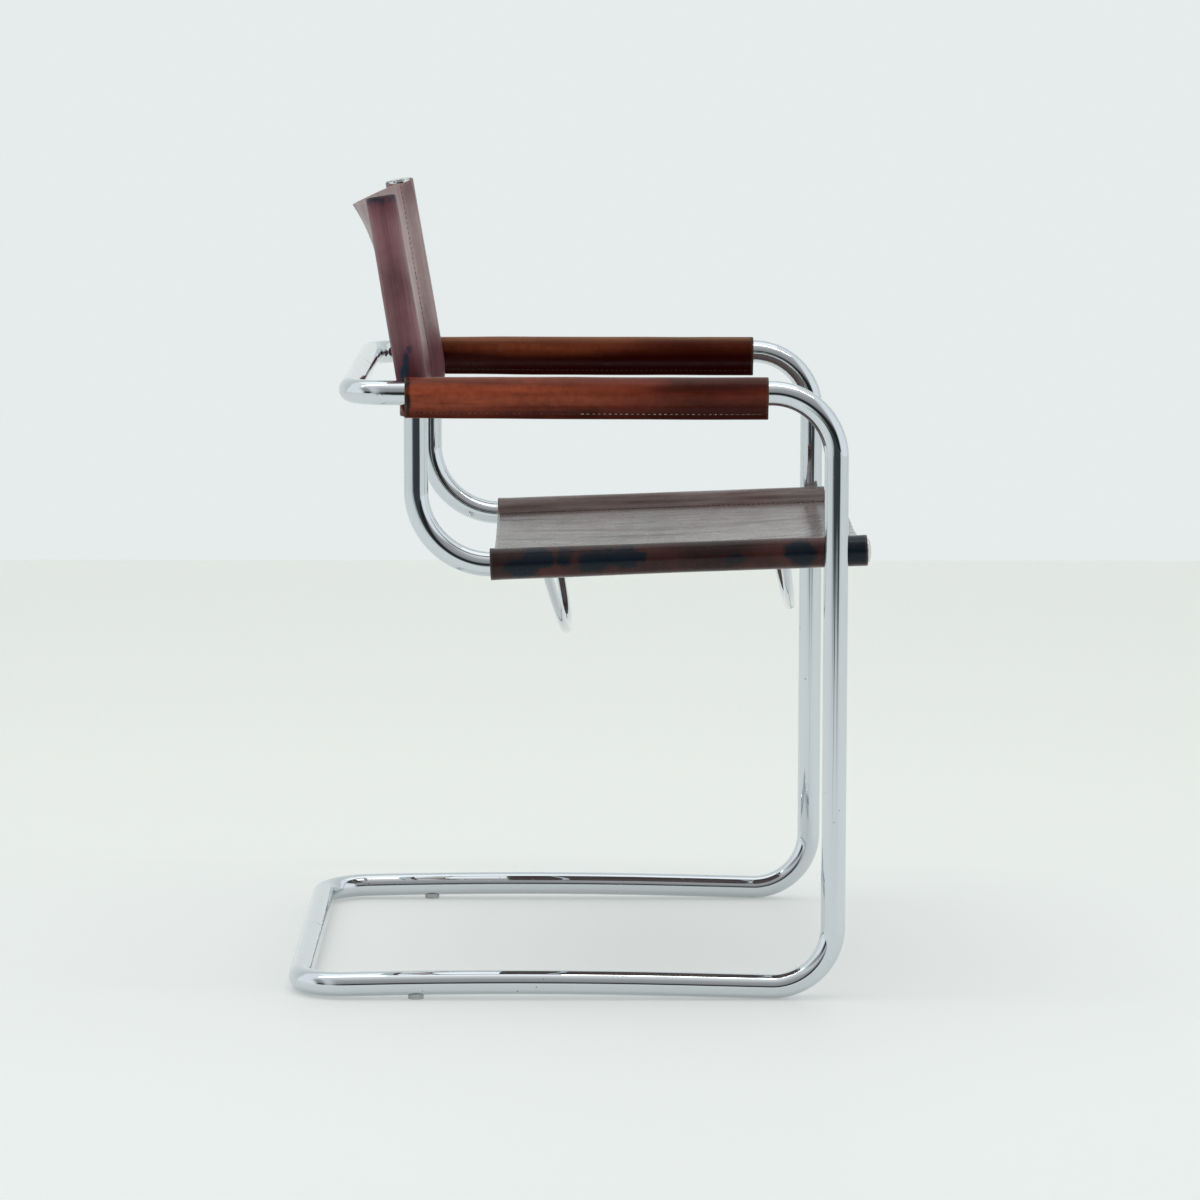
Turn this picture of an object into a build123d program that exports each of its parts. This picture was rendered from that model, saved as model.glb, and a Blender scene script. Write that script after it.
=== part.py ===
from build123d import *

import os
from math import asin, cos, exp, radians, sin, sqrt, tan

# A cantilever lounge chair: two bent steel side frames, two L-shaped side rails hung inside
# them, and a leather seat, back and pair of armrest covers drawn over the tubes.
# Millimetres, +Z up. The front of the chair faces -Y and the sitter's left is +X. The origin
# is on the floor, under the middle of the chair's bounding box.

# ---- Tube ----
TUBE_D = 25.0
TUBE_WALL = 2.0

# ---- Side frames: floor rail, front leg and arm, joined across the back by two bars ----
FRAME_WIDTH = 525.0  # between the axes of the two side frames
BASE_LENGTH = 548.0  # from the rear floor bar's axis to the front legs' axis
ARM_HEIGHT = 622.2  # arm tube's axis above the floor
BACK_BAR_SETIN = 56.0  # upper bar's axis, forward of the floor bar's axis
CROWN_SETIN = 226.5  # crown of the floor rail's gentle bow, forward of the floor bar's axis
RAIL_FALL = 1.4  # degrees, from the crown down to either end of the floor rail
TOE_GAP = 0.1  # front bends' lowest points above the floor
REAR_FLOOR_BEND = 50.0  # bend radii of the tube's axis
FRONT_FLOOR_BEND = 62.0
ARM_BEND = 66.0
BACK_BAR_BEND = 42.0

# ---- Side rails: seat run, bend, upright and the leaning back run ----
RAIL_GAP = 7.5  # between the side rail's surface and the side frame's
SEAT_HEIGHT = 457.6  # seat rail's axis where it passes the leg
SEAT_PITCH = 2.2  # degrees, rising towards the front
SEAT_OVERHANG = 33.0  # seat rail's end, forward of the leg's axis
UPRIGHT_SETIN = 122.2  # upright's axis, forward of the floor bar's axis
SEAT_BEND = 76.0
KINK_DROP = 11.5  # where the upright starts to lean back, below the arm's axis
KINK_BEND = 110.0
BACK_LEAN = 9.5  # degrees
BACK_RUN = 206.0  # from the kink to the top of the tube

# ---- Spigots that join the two frame halves ----
SPIGOT_LENGTH = 90.0
SPIGOT_WALL = 2.5
SPIGOT_CLEARANCE = 0.2

# ---- End caps ----
CAP_RIM = 1.0
SEAT_CAP_RISE = 4.5
UPRIGHT_CAP_RISE = 2.2
PLUG_LENGTH = 12.0
PLUG_CLEARANCE = 0.2

# ---- Bows that spread the side rails under the seat ----
BOW_D = 10.4
BOW_CLEARANCE = 0.3
BOW_SLOT_CLEARANCE = 0.8
REAR_BOW_SETIN = 130.2  # where the bow meets the seat rail, forward of the upright's axis
REAR_BOW_DEPTH = 99.8
REAR_BOW_TILT = 13.4  # degrees, forward as the bow dips
FRONT_BOW_SETBACK = 51.1  # where the bow meets the seat rail, behind the leg's axis
FRONT_BOW_DEPTH = 81.7
FRONT_BOW_TILT = 10.0

# ---- Screwed joints between side rails and side frames ----
SCREW_D = 5.8
SCREW_CLEARANCE = 0.2
SCREW_REACH = 12.0  # how far the screw enters the frame tube
HEAD_D = 9.6
HEAD_HEIGHT = 3.4
ACCESS_CLEARANCE = 1.0
WASHER_D = 10.0
WASHER_HEIGHT = 2.8
SPACER_D = 11.0
SPACER_HOLE_CLEARANCE = 0.5
INSERT_D = 8.8
INSERT_LENGTH = 11.0
INSERT_RECESS = 1.0
INSERT_CLEARANCE = 0.1
SADDLE_GAP = 0.2  # between a saddle face and the tube that it seats on

# ---- Floor glides, one under the rear of each floor rail ----
GLIDE_D = 16.0
GLIDE_WRAP = 2.0  # how far the glide's saddle rises round the tube
GLIDE_INSET = 71.0  # forward of the end of the rear bend
GLIDE_SCREW_D = 4.0
GLIDE_HEAD_D = 7.5
GLIDE_HEAD_HEIGHT = 1.8
GLIDE_HEAD_RECESS = 0.7
GLIDE_SCREW_REACH = 5.0
GLIDE_CLEARANCE = 0.2

# ---- Leather seat and back ----
HIDE = 3.0  # thickness
SLEEVE_CLEARANCE = 0.35
SHEET_BITE = 0.3  # the sheet's edge stays this far outside the sleeve's bore
FLANGE_WIDTH = 14.0  # stitched double edge beside each sleeve
SEAT_REAR_GAP = 75.8  # rear edge of the seat, forward of the upright's axis
SEAT_SAG_REAR = 10.0
SEAT_SAG_MIDDLE = 18.0
SEAT_SAG_FRONT = 7.5
BACK_DROP = 14.0  # back sleeves' lower ends, below the kink
BACK_OVERRUN = 3.2  # sleeves' upper ends, past the tube's end
BACK_SAG_TOP = 43.0
BACK_SAG_LOW = 15.5
BACK_CURL = 70.0  # length over which the top edge's curl dies away
BACK_TOP_DIP = 10.0  # drop of the top edge between the sleeves
BACK_STATIONS = (0.0, 0.13, 0.3, 0.58, 1.0)  # sections of the back, as shares of its length
SEAM_INSET = 8.0  # seam, from the sleeve's surface
THREAD_WIDTH = 1.4
THREAD_HEIGHT = 0.8
SEAM_MARGIN = 5.0  # seam's end from the leather's edge

# ---- Armrest covers ----
ARM_HIDE = 3.4
ARM_SLEEVE_CLEARANCE = 0.35
ARM_COVER_FRONT = 70.0  # front edge, behind the leg's axis
ARM_COVER_OVERRUN = 11.2  # rear edge, behind the upright's axis
ARM_FLANGE_DROP = 26.5  # flange's lower edge, below the tube's axis
ARM_FLANGE_TOP = 19.0  # where the two sides meet, below the tube's axis
ARM_WRAP_ANGLE = 28.0  # degrees below the axis where the leather leaves the tube
ARM_SEAM_RISE = 6.0  # seam above the flange's lower edge

# ---- Worked out from the sizes above ----
TUBE_R = TUBE_D / 2
BORE_R = TUBE_R - TUBE_WALL
FRAME_X = FRAME_WIDTH / 2
RAIL_X = FRAME_X - TUBE_D - RAIL_GAP
PITCH = radians(SEAT_PITCH)
LEAN = radians(BACK_LEAN)
OVERALL_DEPTH = TUBE_R + BASE_LENGTH + SEAT_OVERHANG + SEAT_CAP_RISE
REAR_BAR_Y = OVERALL_DEPTH / 2 - TUBE_R
LEG_Y = REAR_BAR_Y - BASE_LENGTH
BACK_BAR_Y = REAR_BAR_Y - BACK_BAR_SETIN
UPRIGHT_Y = REAR_BAR_Y - UPRIGHT_SETIN
KINK_HEIGHT = ARM_HEIGHT - KINK_DROP
SEAT_REAR_Y = UPRIGHT_Y - SEAT_REAR_GAP
ARM_COVER_LENGTH = UPRIGHT_Y + ARM_COVER_OVERRUN - LEG_Y - ARM_COVER_FRONT

FALL = radians(RAIL_FALL)
CROWN_Y = REAR_BAR_Y - CROWN_SETIN
CROWN_BEND = 0.96 * (CROWN_SETIN - REAR_FLOOR_BEND) / tan(FALL)
TOE_FALL = (CROWN_Y - LEG_Y - FRONT_FLOOR_BEND) * tan(FALL)
RAIL_APEX = TUBE_R + TOE_GAP + TOE_FALL - FRONT_FLOOR_BEND * (1 / cos(FALL) - 1)
GLIDE_Y = REAR_BAR_Y - REAR_FLOOR_BEND - GLIDE_INSET

SLEEVE_BORE_R = TUBE_R + SLEEVE_CLEARANCE
SLEEVE_R = SLEEVE_BORE_R + HIDE
SHEET_EDGE = RAIL_X - SLEEVE_BORE_R - SHEET_BITE
SHEET_HALF = RAIL_X - SLEEVE_R - FLANGE_WIDTH
SEAT_FORWARD = Vector(0, -cos(PITCH), sin(PITCH))
BACK_UP = Vector(0, sin(LEAN), cos(LEAN))
BACK_REARWARD = Vector(0, cos(LEAN), -sin(LEAN))


# ---- Places ----
def seat_axis(y, x=RAIL_X):
    """The seat rail's axis at a distance along the chair."""
    return Vector(x, y, SEAT_HEIGHT + (LEG_Y - y) * tan(PITCH))


def back_axis(distance, x=RAIL_X):
    """The leaning run's axis at a distance up from the kink."""
    return Vector(x, UPRIGHT_Y, KINK_HEIGHT) + BACK_UP * distance


def floor_rail_height(y):
    """The floor rail's axis height at a distance along the chair."""
    offset = abs(y - CROWN_Y)
    if offset > CROWN_BEND * sin(FALL):
        return RAIL_APEX - offset * tan(FALL)
    return RAIL_APEX - CROWN_BEND / cos(FALL) + sqrt(CROWN_BEND**2 - offset**2)


# ---- Paths of the tubes ----
def frame_path():
    """Axis of the left frame half, from the floor bar's middle to the upper bar's middle."""
    rear_z = RAIL_APEX - CROWN_SETIN * tan(FALL)
    front_z = RAIL_APEX - (CROWN_Y - LEG_Y) * tan(FALL)
    points = [
        (0, REAR_BAR_Y, rear_z),
        (FRAME_X, REAR_BAR_Y, rear_z),
        (FRAME_X, CROWN_Y, RAIL_APEX),
        (FRAME_X, LEG_Y, front_z),
        (FRAME_X, LEG_Y, ARM_HEIGHT),
        (FRAME_X, BACK_BAR_Y, ARM_HEIGHT),
        (0, BACK_BAR_Y, ARM_HEIGHT),
    ]
    bends = [REAR_FLOOR_BEND, CROWN_BEND, FRONT_FLOOR_BEND, ARM_BEND, BACK_BAR_BEND]
    return FilletPolyline(*points, radius=bends)


def side_rail_path():
    """Axis of the left side rail, from the seat's front end to the top of the back."""
    points = [
        seat_axis(LEG_Y - SEAT_OVERHANG),
        seat_axis(UPRIGHT_Y),
        back_axis(0),
        back_axis(BACK_RUN),
    ]
    return FilletPolyline(*points, radius=[SEAT_BEND, KINK_BEND])


def bow_path(y, depth, tilt, reach):
    """Arc of a bow that meets both seat rails' axes and runs past them by reach."""
    radius = (RAIL_X**2 + depth**2) / (2 * depth)
    end_angle = asin(RAIL_X / radius) + reach / radius
    level = seat_axis(y, 0)
    down = Vector(0, -sin(radians(tilt)), -cos(radians(tilt)))
    end_drop = radius * cos(end_angle) - (radius - depth)
    end_x = radius * sin(end_angle)
    left_end = level + down * end_drop + Vector(end_x, 0, 0)
    right_end = level + down * end_drop - Vector(end_x, 0, 0)
    return ThreePointArc(left_end, level + down * depth, right_end)


# ---- Small solids ----
def along(path, radius, bore=0.0):
    """Round bar or tube that follows a path."""
    start = Plane(origin=path @ 0, z_dir=path % 0)
    section = start * Circle(radius)
    if bore:
        section -= start * Circle(bore)
    return sweep(section, path=path)


def cross_bar(radius, x_from, x_to, y, z):
    """Round bar along X between two distances from the middle."""
    start = Plane(origin=(x_from, y, z), z_dir=(1, 0, 0))
    return extrude(start * Circle(radius), amount=x_to - x_from)


def standing_bar(radius, x, y, z_from, z_to):
    """Round bar along Z."""
    return extrude(Plane(origin=(x, y, z_from)) * Circle(radius), amount=z_to - z_from)


def both_sides(left):
    """A piece of the left side with its mirror image on the right."""
    return left + mirror(left, about=Plane.YZ)


# ---- Joints between side rails and side frames, on the left ----
def joint_places():
    """Where each screw crosses from the side rail into the side frame."""
    rise = (ARM_HEIGHT - KINK_HEIGHT) / cos(LEAN)
    at_leg = seat_axis(LEG_Y)
    at_arm = back_axis(rise)
    return [(at_leg.Y, at_leg.Z), (at_arm.Y, at_arm.Z)]


WASHER_FLAT_X = RAIL_X + BORE_R - WASHER_HEIGHT
FRAME_INNER_X = FRAME_X - TUBE_R


def joint_screw(y, z):
    """Screw whose head lies inside the side rail."""
    head = cross_bar(HEAD_D / 2, WASHER_FLAT_X - HEAD_HEIGHT, WASHER_FLAT_X, y, z)
    shank = cross_bar(SCREW_D / 2, WASHER_FLAT_X, FRAME_INNER_X + SCREW_REACH, y, z)
    return head + shank


def joint_washer(y, z, rail_bore):
    """Washer, flat under the head and rounded where it meets the tube's bore."""
    blank = cross_bar(WASHER_D / 2, WASHER_FLAT_X, RAIL_X + BORE_R, y, z)
    hole = cross_bar(SCREW_D / 2 + SCREW_CLEARANCE, RAIL_X, FRAME_X, y, z)
    return (blank & rail_bore) - hole


def joint_spacer(y, z, rail_skin, frame_skin):
    """Spacer with a saddle at each end, between the side rail and the side frame."""
    blank = cross_bar(SPACER_D / 2, RAIL_X, FRAME_X, y, z)
    hole = cross_bar(SCREW_D / 2 + SCREW_CLEARANCE, RAIL_X, FRAME_X, y, z)
    return blank - rail_skin - frame_skin - hole


def joint_insert(y, z):
    """Threaded insert set into the side frame's inner wall."""
    start = FRAME_INNER_X + INSERT_RECESS
    body = cross_bar(INSERT_D / 2, start, start + INSERT_LENGTH, y, z)
    hole = cross_bar(SCREW_D / 2 + INSERT_CLEARANCE, start, start + INSERT_LENGTH, y, z)
    return body - hole


# ---- Floor glide, on the left ----
def glide(frame_skin):
    """Disc with a saddle that fits the tube and a recess for its screw."""
    underside = floor_rail_height(GLIDE_Y) - TUBE_R
    recess_top = GLIDE_HEAD_RECESS + GLIDE_HEAD_HEIGHT
    hole_r = GLIDE_SCREW_D / 2 + GLIDE_CLEARANCE
    disc = standing_bar(GLIDE_D / 2, FRAME_X, GLIDE_Y, 0, underside + GLIDE_WRAP)
    recess = standing_bar(GLIDE_HEAD_D / 2 + GLIDE_CLEARANCE, FRAME_X, GLIDE_Y, 0, recess_top)
    hole = standing_bar(hole_r, FRAME_X, GLIDE_Y, 0, underside + TUBE_R)
    return disc - frame_skin - recess - hole


def glide_screw():
    """Pan-headed screw that holds the glide to the tube's underside."""
    head_top = GLIDE_HEAD_RECESS + GLIDE_HEAD_HEIGHT
    tip = floor_rail_height(GLIDE_Y) - TUBE_R + GLIDE_SCREW_REACH
    head = standing_bar(GLIDE_HEAD_D / 2, FRAME_X, GLIDE_Y, GLIDE_HEAD_RECESS, head_top)
    return head + standing_bar(GLIDE_SCREW_D / 2, FRAME_X, GLIDE_Y, head_top, tip)


# ---- Metal nodes ----
def frame_half():
    """Left frame half, drilled for the inserts and the glide's screw."""
    tube = along(frame_path(), TUBE_R, BORE_R)
    for y, z in joint_places():
        hole_r = INSERT_D / 2 + INSERT_CLEARANCE
        tube -= cross_bar(hole_r, FRAME_INNER_X - TUBE_WALL, FRAME_X, y, z)
    hole_r = GLIDE_SCREW_D / 2 + GLIDE_CLEARANCE
    return tube - standing_bar(hole_r, FRAME_X, GLIDE_Y, 0, floor_rail_height(GLIDE_Y))


def spigot(y, z):
    """Sleeve inside a rear bar, across the meeting of the two frame halves."""
    outer = BORE_R - SPIGOT_CLEARANCE
    body = cross_bar(outer, -SPIGOT_LENGTH / 2, SPIGOT_LENGTH / 2, y, z)
    return body - cross_bar(outer - SPIGOT_WALL, -SPIGOT_LENGTH / 2, SPIGOT_LENGTH / 2, y, z)


def side_rail(bow_holes):
    """Left side rail, drilled for the joint screws and the bows' ends."""
    tube = along(side_rail_path(), TUBE_R, BORE_R)
    for y, z in joint_places():
        access_r = HEAD_D / 2 + ACCESS_CLEARANCE
        tube -= cross_bar(SCREW_D / 2 + SCREW_CLEARANCE, RAIL_X, FRAME_X, y, z)
        tube -= cross_bar(access_r, RAIL_X - TUBE_D, RAIL_X, y, z)
    return tube - bow_holes


def end_cap(end, outward, rise):
    """Domed cap with a plug that fits the tube's bore."""
    plug_r = BORE_R - PLUG_CLEARANCE
    outline = Polyline(
        (0, rise),
        (0, -PLUG_LENGTH),
        (plug_r, -PLUG_LENGTH),
        (plug_r, 0),
        (TUBE_R, 0),
        (TUBE_R, CAP_RIM),
    )
    dome = TangentArc((0, rise), (TUBE_R, CAP_RIM), tangent=(1, 0))
    section = make_face(Plane.XZ * (outline + dome))
    return Plane(origin=end, z_dir=outward) * revolve(section, axis=Axis.Z)


# ---- Leather ----
def seat_plane(y):
    """Section plane across the seat, X to the left and Y away from the sitter."""
    return Plane(origin=seat_axis(y, 0), x_dir=(1, 0, 0), z_dir=SEAT_FORWARD * -1)


def back_plane(distance):
    """Section plane across the back, X to the left and Y away from the sitter."""
    return Plane(origin=back_axis(distance, 0), x_dir=(1, 0, 0), z_dir=BACK_UP)


def sheet_section(plane, sag):
    """Cross-section of the hide between the sleeves, sagging away from the sitter.

    Its edges are turned back beside the sleeves, so they are two hides thick.
    """
    front = -HIDE / 2
    rear = HIDE / 2
    turned = rear + HIDE
    left = Polyline((-SHEET_EDGE, turned), (-SHEET_EDGE, front), (-SHEET_HALF, front))
    face = ThreePointArc((-SHEET_HALF, front), (0, front + sag), (SHEET_HALF, front))
    right = Polyline((SHEET_HALF, front), (SHEET_EDGE, front), (SHEET_EDGE, turned))
    right += Polyline((SHEET_EDGE, turned), (SHEET_HALF, turned), (SHEET_HALF, rear))
    back = ThreePointArc((SHEET_HALF, rear), (0, rear + sag), (-SHEET_HALF, rear))
    closing = Polyline((-SHEET_HALF, rear), (-SHEET_HALF, turned), (-SHEET_EDGE, turned))
    return plane * make_face(left + face + right + back + closing)


def strip(plane, x_from, x_to, y_from, y_to, length):
    """Rectangular strip on the left, swept square to a section plane."""
    middle = Pos((x_from + x_to) / 2, (y_from + y_to) / 2)
    return extrude(plane * middle * Rectangle(x_to - x_from, y_to - y_from), amount=length)


def seam(plane, length):
    """Line of thread on the sitter's side of a stitched edge."""
    x = RAIL_X - SLEEVE_R - SEAM_INSET
    half = THREAD_WIDTH / 2
    return strip(plane, x - half, x + half, -HIDE / 2 - THREAD_HEIGHT, -HIDE / 2, length)


def seat_sling(bow_slots, spacer_slots):
    """Seat hide with a sleeve along each seat rail."""
    front_y = LEG_Y - SEAT_OVERHANG
    middle_y = (front_y + SEAT_REAR_Y) / 2
    front_end = seat_axis(front_y)
    rear_end = seat_axis(SEAT_REAR_Y)
    sleeve = along(Line(rear_end, front_end), SLEEVE_R, SLEEVE_BORE_R)
    sags = {SEAT_REAR_Y: SEAT_SAG_REAR, middle_y: SEAT_SAG_MIDDLE, front_y: SEAT_SAG_FRONT}
    sheet = loft([sheet_section(seat_plane(y), sag) for y, sag in sags.items()])
    return sheet + both_sides(sleeve) - bow_slots - both_sides(spacer_slots)


def back_sag(drop):
    """Sag of the back at a distance below its upper edge."""
    return BACK_SAG_LOW + (BACK_SAG_TOP - BACK_SAG_LOW) * exp(-drop / BACK_CURL)


def back_sling(spacer_slots):
    """Back hide with a sleeve along each upright, curling rearward at its top edge."""
    top = BACK_RUN + BACK_OVERRUN
    low_end = Vector(RAIL_X, UPRIGHT_Y, KINK_HEIGHT - BACK_DROP)
    path = FilletPolyline(low_end, back_axis(0), back_axis(top), radius=[KINK_BEND])
    sleeve = along(path, SLEEVE_R, SLEEVE_BORE_R)
    bend_end = KINK_BEND * tan(LEAN / 2)
    drops = [share * (top - bend_end) for share in BACK_STATIONS]
    sections = [sheet_section(back_plane(top - drop), back_sag(drop)) for drop in drops]
    low_plane = Plane(origin=(0, UPRIGHT_Y, low_end.Z), x_dir=(1, 0, 0), z_dir=(0, 0, 1))
    low_section = sheet_section(low_plane, back_sag(top + BACK_DROP))
    sheet = loft(sections) + loft([sections[-1], low_section], ruled=True)
    view = Plane(origin=back_axis(top, 0), x_dir=(1, 0, 0), z_dir=BACK_REARWARD)
    corners = (SHEET_HALF, 0), (SHEET_HALF, -HIDE), (-SHEET_HALF, -HIDE), (-SHEET_HALF, 0)
    dip = ThreePointArc((-SHEET_HALF, 0), (0, BACK_TOP_DIP), (SHEET_HALF, 0))
    scoop = extrude(view * make_face(Polyline(*corners) + dip), amount=2 * BACK_SAG_TOP)
    scoop += extrude(view * make_face(Polyline(*corners) + dip), amount=-HIDE)
    return sheet - scoop + both_sides(sleeve) - both_sides(spacer_slots)


def armrest_cover(spacer_slots):
    """Left armrest cover: hide wrapped over the tube and stitched below it."""
    bore_r = TUBE_R + ARM_SLEEVE_CLEARANCE
    outer_r = bore_r + ARM_HIDE
    wrap = radians(ARM_WRAP_ANGLE)
    leave = (outer_r * cos(wrap), -outer_r * sin(wrap))
    over = ThreePointArc((-leave[0], leave[1]), (0, outer_r), leave)
    flange = Polyline(
        leave,
        (ARM_HIDE, -ARM_FLANGE_TOP),
        (ARM_HIDE, -ARM_FLANGE_DROP),
        (-ARM_HIDE, -ARM_FLANGE_DROP),
        (-ARM_HIDE, -ARM_FLANGE_TOP),
        (-leave[0], leave[1]),
    )
    start = (FRAME_X, UPRIGHT_Y + ARM_COVER_OVERRUN, ARM_HEIGHT)
    end = Plane(origin=start, x_dir=(1, 0, 0), z_dir=(0, -1, 0))
    section = end * make_face(over + flange) - end * Circle(bore_r)
    return extrude(section, amount=ARM_COVER_LENGTH) - spacer_slots


def armrest_seams():
    """Lines of thread on both faces of the left armrest cover's flange."""
    length = ARM_COVER_LENGTH - 2 * SEAM_MARGIN
    middle_y = LEG_Y + ARM_COVER_FRONT + ARM_COVER_LENGTH / 2
    z = ARM_HEIGHT - ARM_FLANGE_DROP + ARM_SEAM_RISE
    offset = ARM_HIDE + THREAD_HEIGHT / 2
    thread = Box(THREAD_HEIGHT, length, THREAD_WIDTH)
    return Pos(FRAME_X + offset, middle_y, z) * thread + Pos(FRAME_X - offset, middle_y, z) * thread


# ---- Build and write the nodes ----
def spacer_slot(y, z):
    """Hole through leather for a joint's spacer."""
    return cross_bar(SPACER_D / 2 + SPACER_HOLE_CLEARANCE, RAIL_X, FRAME_X, y, z)


def build():
    """Every node of the chair by name."""
    frame_skin = along(frame_path(), TUBE_R + SADDLE_GAP)
    rail_skin = along(side_rail_path(), TUBE_R + SADDLE_GAP)
    rail_bore = along(side_rail_path(), BORE_R - SADDLE_GAP)
    leg_joint, arm_joint = joint_places()
    joints = [leg_joint, arm_joint]

    bow_sizes = {
        "rear_bow": (UPRIGHT_Y - REAR_BOW_SETIN, REAR_BOW_DEPTH, REAR_BOW_TILT),
        "front_bow": (LEG_Y + FRONT_BOW_SETBACK, FRONT_BOW_DEPTH, FRONT_BOW_TILT),
    }
    bow_r = BOW_D / 2
    end_reach = sqrt((BORE_R - BOW_CLEARANCE) ** 2 - bow_r**2)
    bows = {name: along(bow_path(*size, end_reach), bow_r) for name, size in bow_sizes.items()}
    bores = [along(bow_path(*size, 0), bow_r + BOW_CLEARANCE) for size in bow_sizes.values()]
    slots = [along(bow_path(*size, 0), bow_r + BOW_SLOT_CLEARANCE) for size in bow_sizes.values()]

    left_frame = frame_half()
    left_rail = side_rail(bores)
    left_cover = armrest_cover(spacer_slot(*arm_joint))
    bar_heights = [(frame_path() @ 0).Z, ARM_HEIGHT]
    top = BACK_RUN + BACK_OVERRUN
    back_seam_length = top - KINK_BEND * tan(LEAN / 2) - 2 * SEAM_MARGIN
    front_y = LEG_Y - SEAT_OVERHANG
    seat_seam_length = (SEAT_REAR_Y - front_y) / cos(PITCH) - 2 * SEAM_MARGIN
    seat_seam_start = seat_plane(front_y + SEAM_MARGIN * cos(PITCH))

    nodes = {
        "frame_half_left": left_frame,
        "frame_half_right": mirror(left_frame, about=Plane.YZ),
        "floor_bar_spigot": spigot(REAR_BAR_Y, bar_heights[0]),
        "back_bar_spigot": spigot(BACK_BAR_Y, bar_heights[1]),
        "side_rail_left": left_rail,
        "side_rail_right": mirror(left_rail, about=Plane.YZ),
        "seat_rail_caps": both_sides(end_cap(seat_axis(front_y), SEAT_FORWARD, SEAT_CAP_RISE)),
        "upright_caps": both_sides(end_cap(back_axis(BACK_RUN), BACK_UP, UPRIGHT_CAP_RISE)),
        "joint_screws": both_sides(Part() + [joint_screw(*p) for p in joints]),
        "joint_washers": both_sides(Part() + [joint_washer(*p, rail_bore) for p in joints]),
        "joint_spacers": both_sides(
            Part() + [joint_spacer(*p, rail_skin, frame_skin) for p in joints]
        ),
        "joint_inserts": both_sides(Part() + [joint_insert(*p) for p in joints]),
        "floor_glides": both_sides(glide(frame_skin)),
        "glide_screws": both_sides(glide_screw()),
        "seat_sling": seat_sling(slots, spacer_slot(*leg_joint)),
        "back_sling": back_sling(spacer_slot(*arm_joint)),
        "armrest_cover_left": left_cover,
        "armrest_cover_right": mirror(left_cover, about=Plane.YZ),
        "seat_seam_threads": both_sides(seam(seat_seam_start, seat_seam_length)),
        "back_seam_threads": both_sides(
            seam(back_plane(top - back_seam_length - SEAM_MARGIN), back_seam_length)
        ),
        "armrest_seam_threads": both_sides(armrest_seams()),
    }
    return {**nodes, **bows}


os.makedirs("parts", exist_ok=True)
for name, shape in build().items():
    export_step(shape, f"parts/{name}.step")
    print(name, round(shape.volume))
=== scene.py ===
"""Looks of a cantilever lounge chair: bent steel tube, leather seat, back and armrest covers.

Metres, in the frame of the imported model: +Z up, the chair's front faces -Y, the sitter's left
is +X, and the origin is on the floor under the middle of the chair.
"""
import logging
from collections.abc import Callable
from dataclasses import dataclass, field
from enum import Enum
from math import acos, asin, atan2, ceil, cos, exp, pi, radians, sin, sqrt, tan

import bpy
import numpy as np
from bpy.types import Material, Mesh, Node, NodeSocket, NodeTree, Object
from mathutils import Matrix, Vector, noise


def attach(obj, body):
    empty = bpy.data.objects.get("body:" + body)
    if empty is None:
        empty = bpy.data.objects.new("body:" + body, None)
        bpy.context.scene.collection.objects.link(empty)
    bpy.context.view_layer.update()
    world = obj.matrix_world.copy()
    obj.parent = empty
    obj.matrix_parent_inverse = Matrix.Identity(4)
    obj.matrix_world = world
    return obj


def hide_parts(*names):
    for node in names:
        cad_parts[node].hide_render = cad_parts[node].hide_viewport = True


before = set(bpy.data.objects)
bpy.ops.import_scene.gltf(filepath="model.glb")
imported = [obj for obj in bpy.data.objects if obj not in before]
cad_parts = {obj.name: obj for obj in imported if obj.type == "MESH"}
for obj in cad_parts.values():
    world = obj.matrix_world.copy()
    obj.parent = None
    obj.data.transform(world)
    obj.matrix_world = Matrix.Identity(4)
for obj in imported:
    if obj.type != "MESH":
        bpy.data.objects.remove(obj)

Array = np.ndarray
Socket = NodeSocket
Triple = tuple[float, float, float]
Pair = tuple[float, float]
Face = tuple[int, ...]
Tone = Socket | Triple
Inputs = dict[str | int, object]

LOG = logging.getLogger("lounge_chair")
MM = 0.001
ROOT = "root"
ACROSS = np.array([1.0, 0.0, 0.0])  # towards the sitter's left
ANY_SIDE = [0.3, 0.5, 0.81]  # a direction that no tube starts along
SIDE_RAILS = ("bent_side_rail_left", "bent_side_rail_right")
NOISE_GAIN = 1.6  # brings the noise to about -1 to 1


class Side(Enum):
    """Side of the chair, as the sitter sees it, with the sign of its X."""

    LEFT = 1
    RIGHT = -1


class Slot(Enum):
    """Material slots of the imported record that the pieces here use."""

    TUBE = "tube_chrome"
    CAP = "cap_chrome"
    SEAT = "seat_leather"
    ARMREST = "armrest_leather"
    THREAD = "seam_thread"


# ------------ small helpers
def smoothstep(value: Array, low: float, high: float) -> Array:
    """Smooth ramp from 0 at low to 1 at high."""
    t = np.clip((np.asarray(value, float) - low) / (high - low), 0.0, 1.0)
    return t * t * (3.0 - 2.0 * t)


def unit(vector: Array) -> Array:
    """Vector of length 1."""
    return vector / np.linalg.norm(vector)


def tilted(angle: float) -> Array:
    """Unit vector that leans rearward from upright by an angle."""
    return np.array([0.0, sin(angle), cos(angle)])


def hum(points: Array, scale: Triple, seed: float) -> Array:
    """Smooth noise, about -1 to 1, at an array of points.

    Args:
        points: Array of any shape whose last axis holds three coordinates in metres.
        scale: Waves per metre along each coordinate.
        seed: Offset that picks the pattern.

    Returns:
        Array of the points' shape without its last axis.
    """
    flat = points.reshape(-1, 3) * np.array(scale) + seed
    values = [noise.noise(Vector(p)) for p in flat]
    return np.array(values).reshape(points.shape[:-1]) * NOISE_GAIN


def new_object(name: str, data: bpy.types.ID) -> Object:
    """Object at the origin that shows a mesh, a lamp or a camera."""
    piece = bpy.data.objects.new(name, data)
    bpy.context.scene.collection.objects.link(piece)
    return piece


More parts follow.
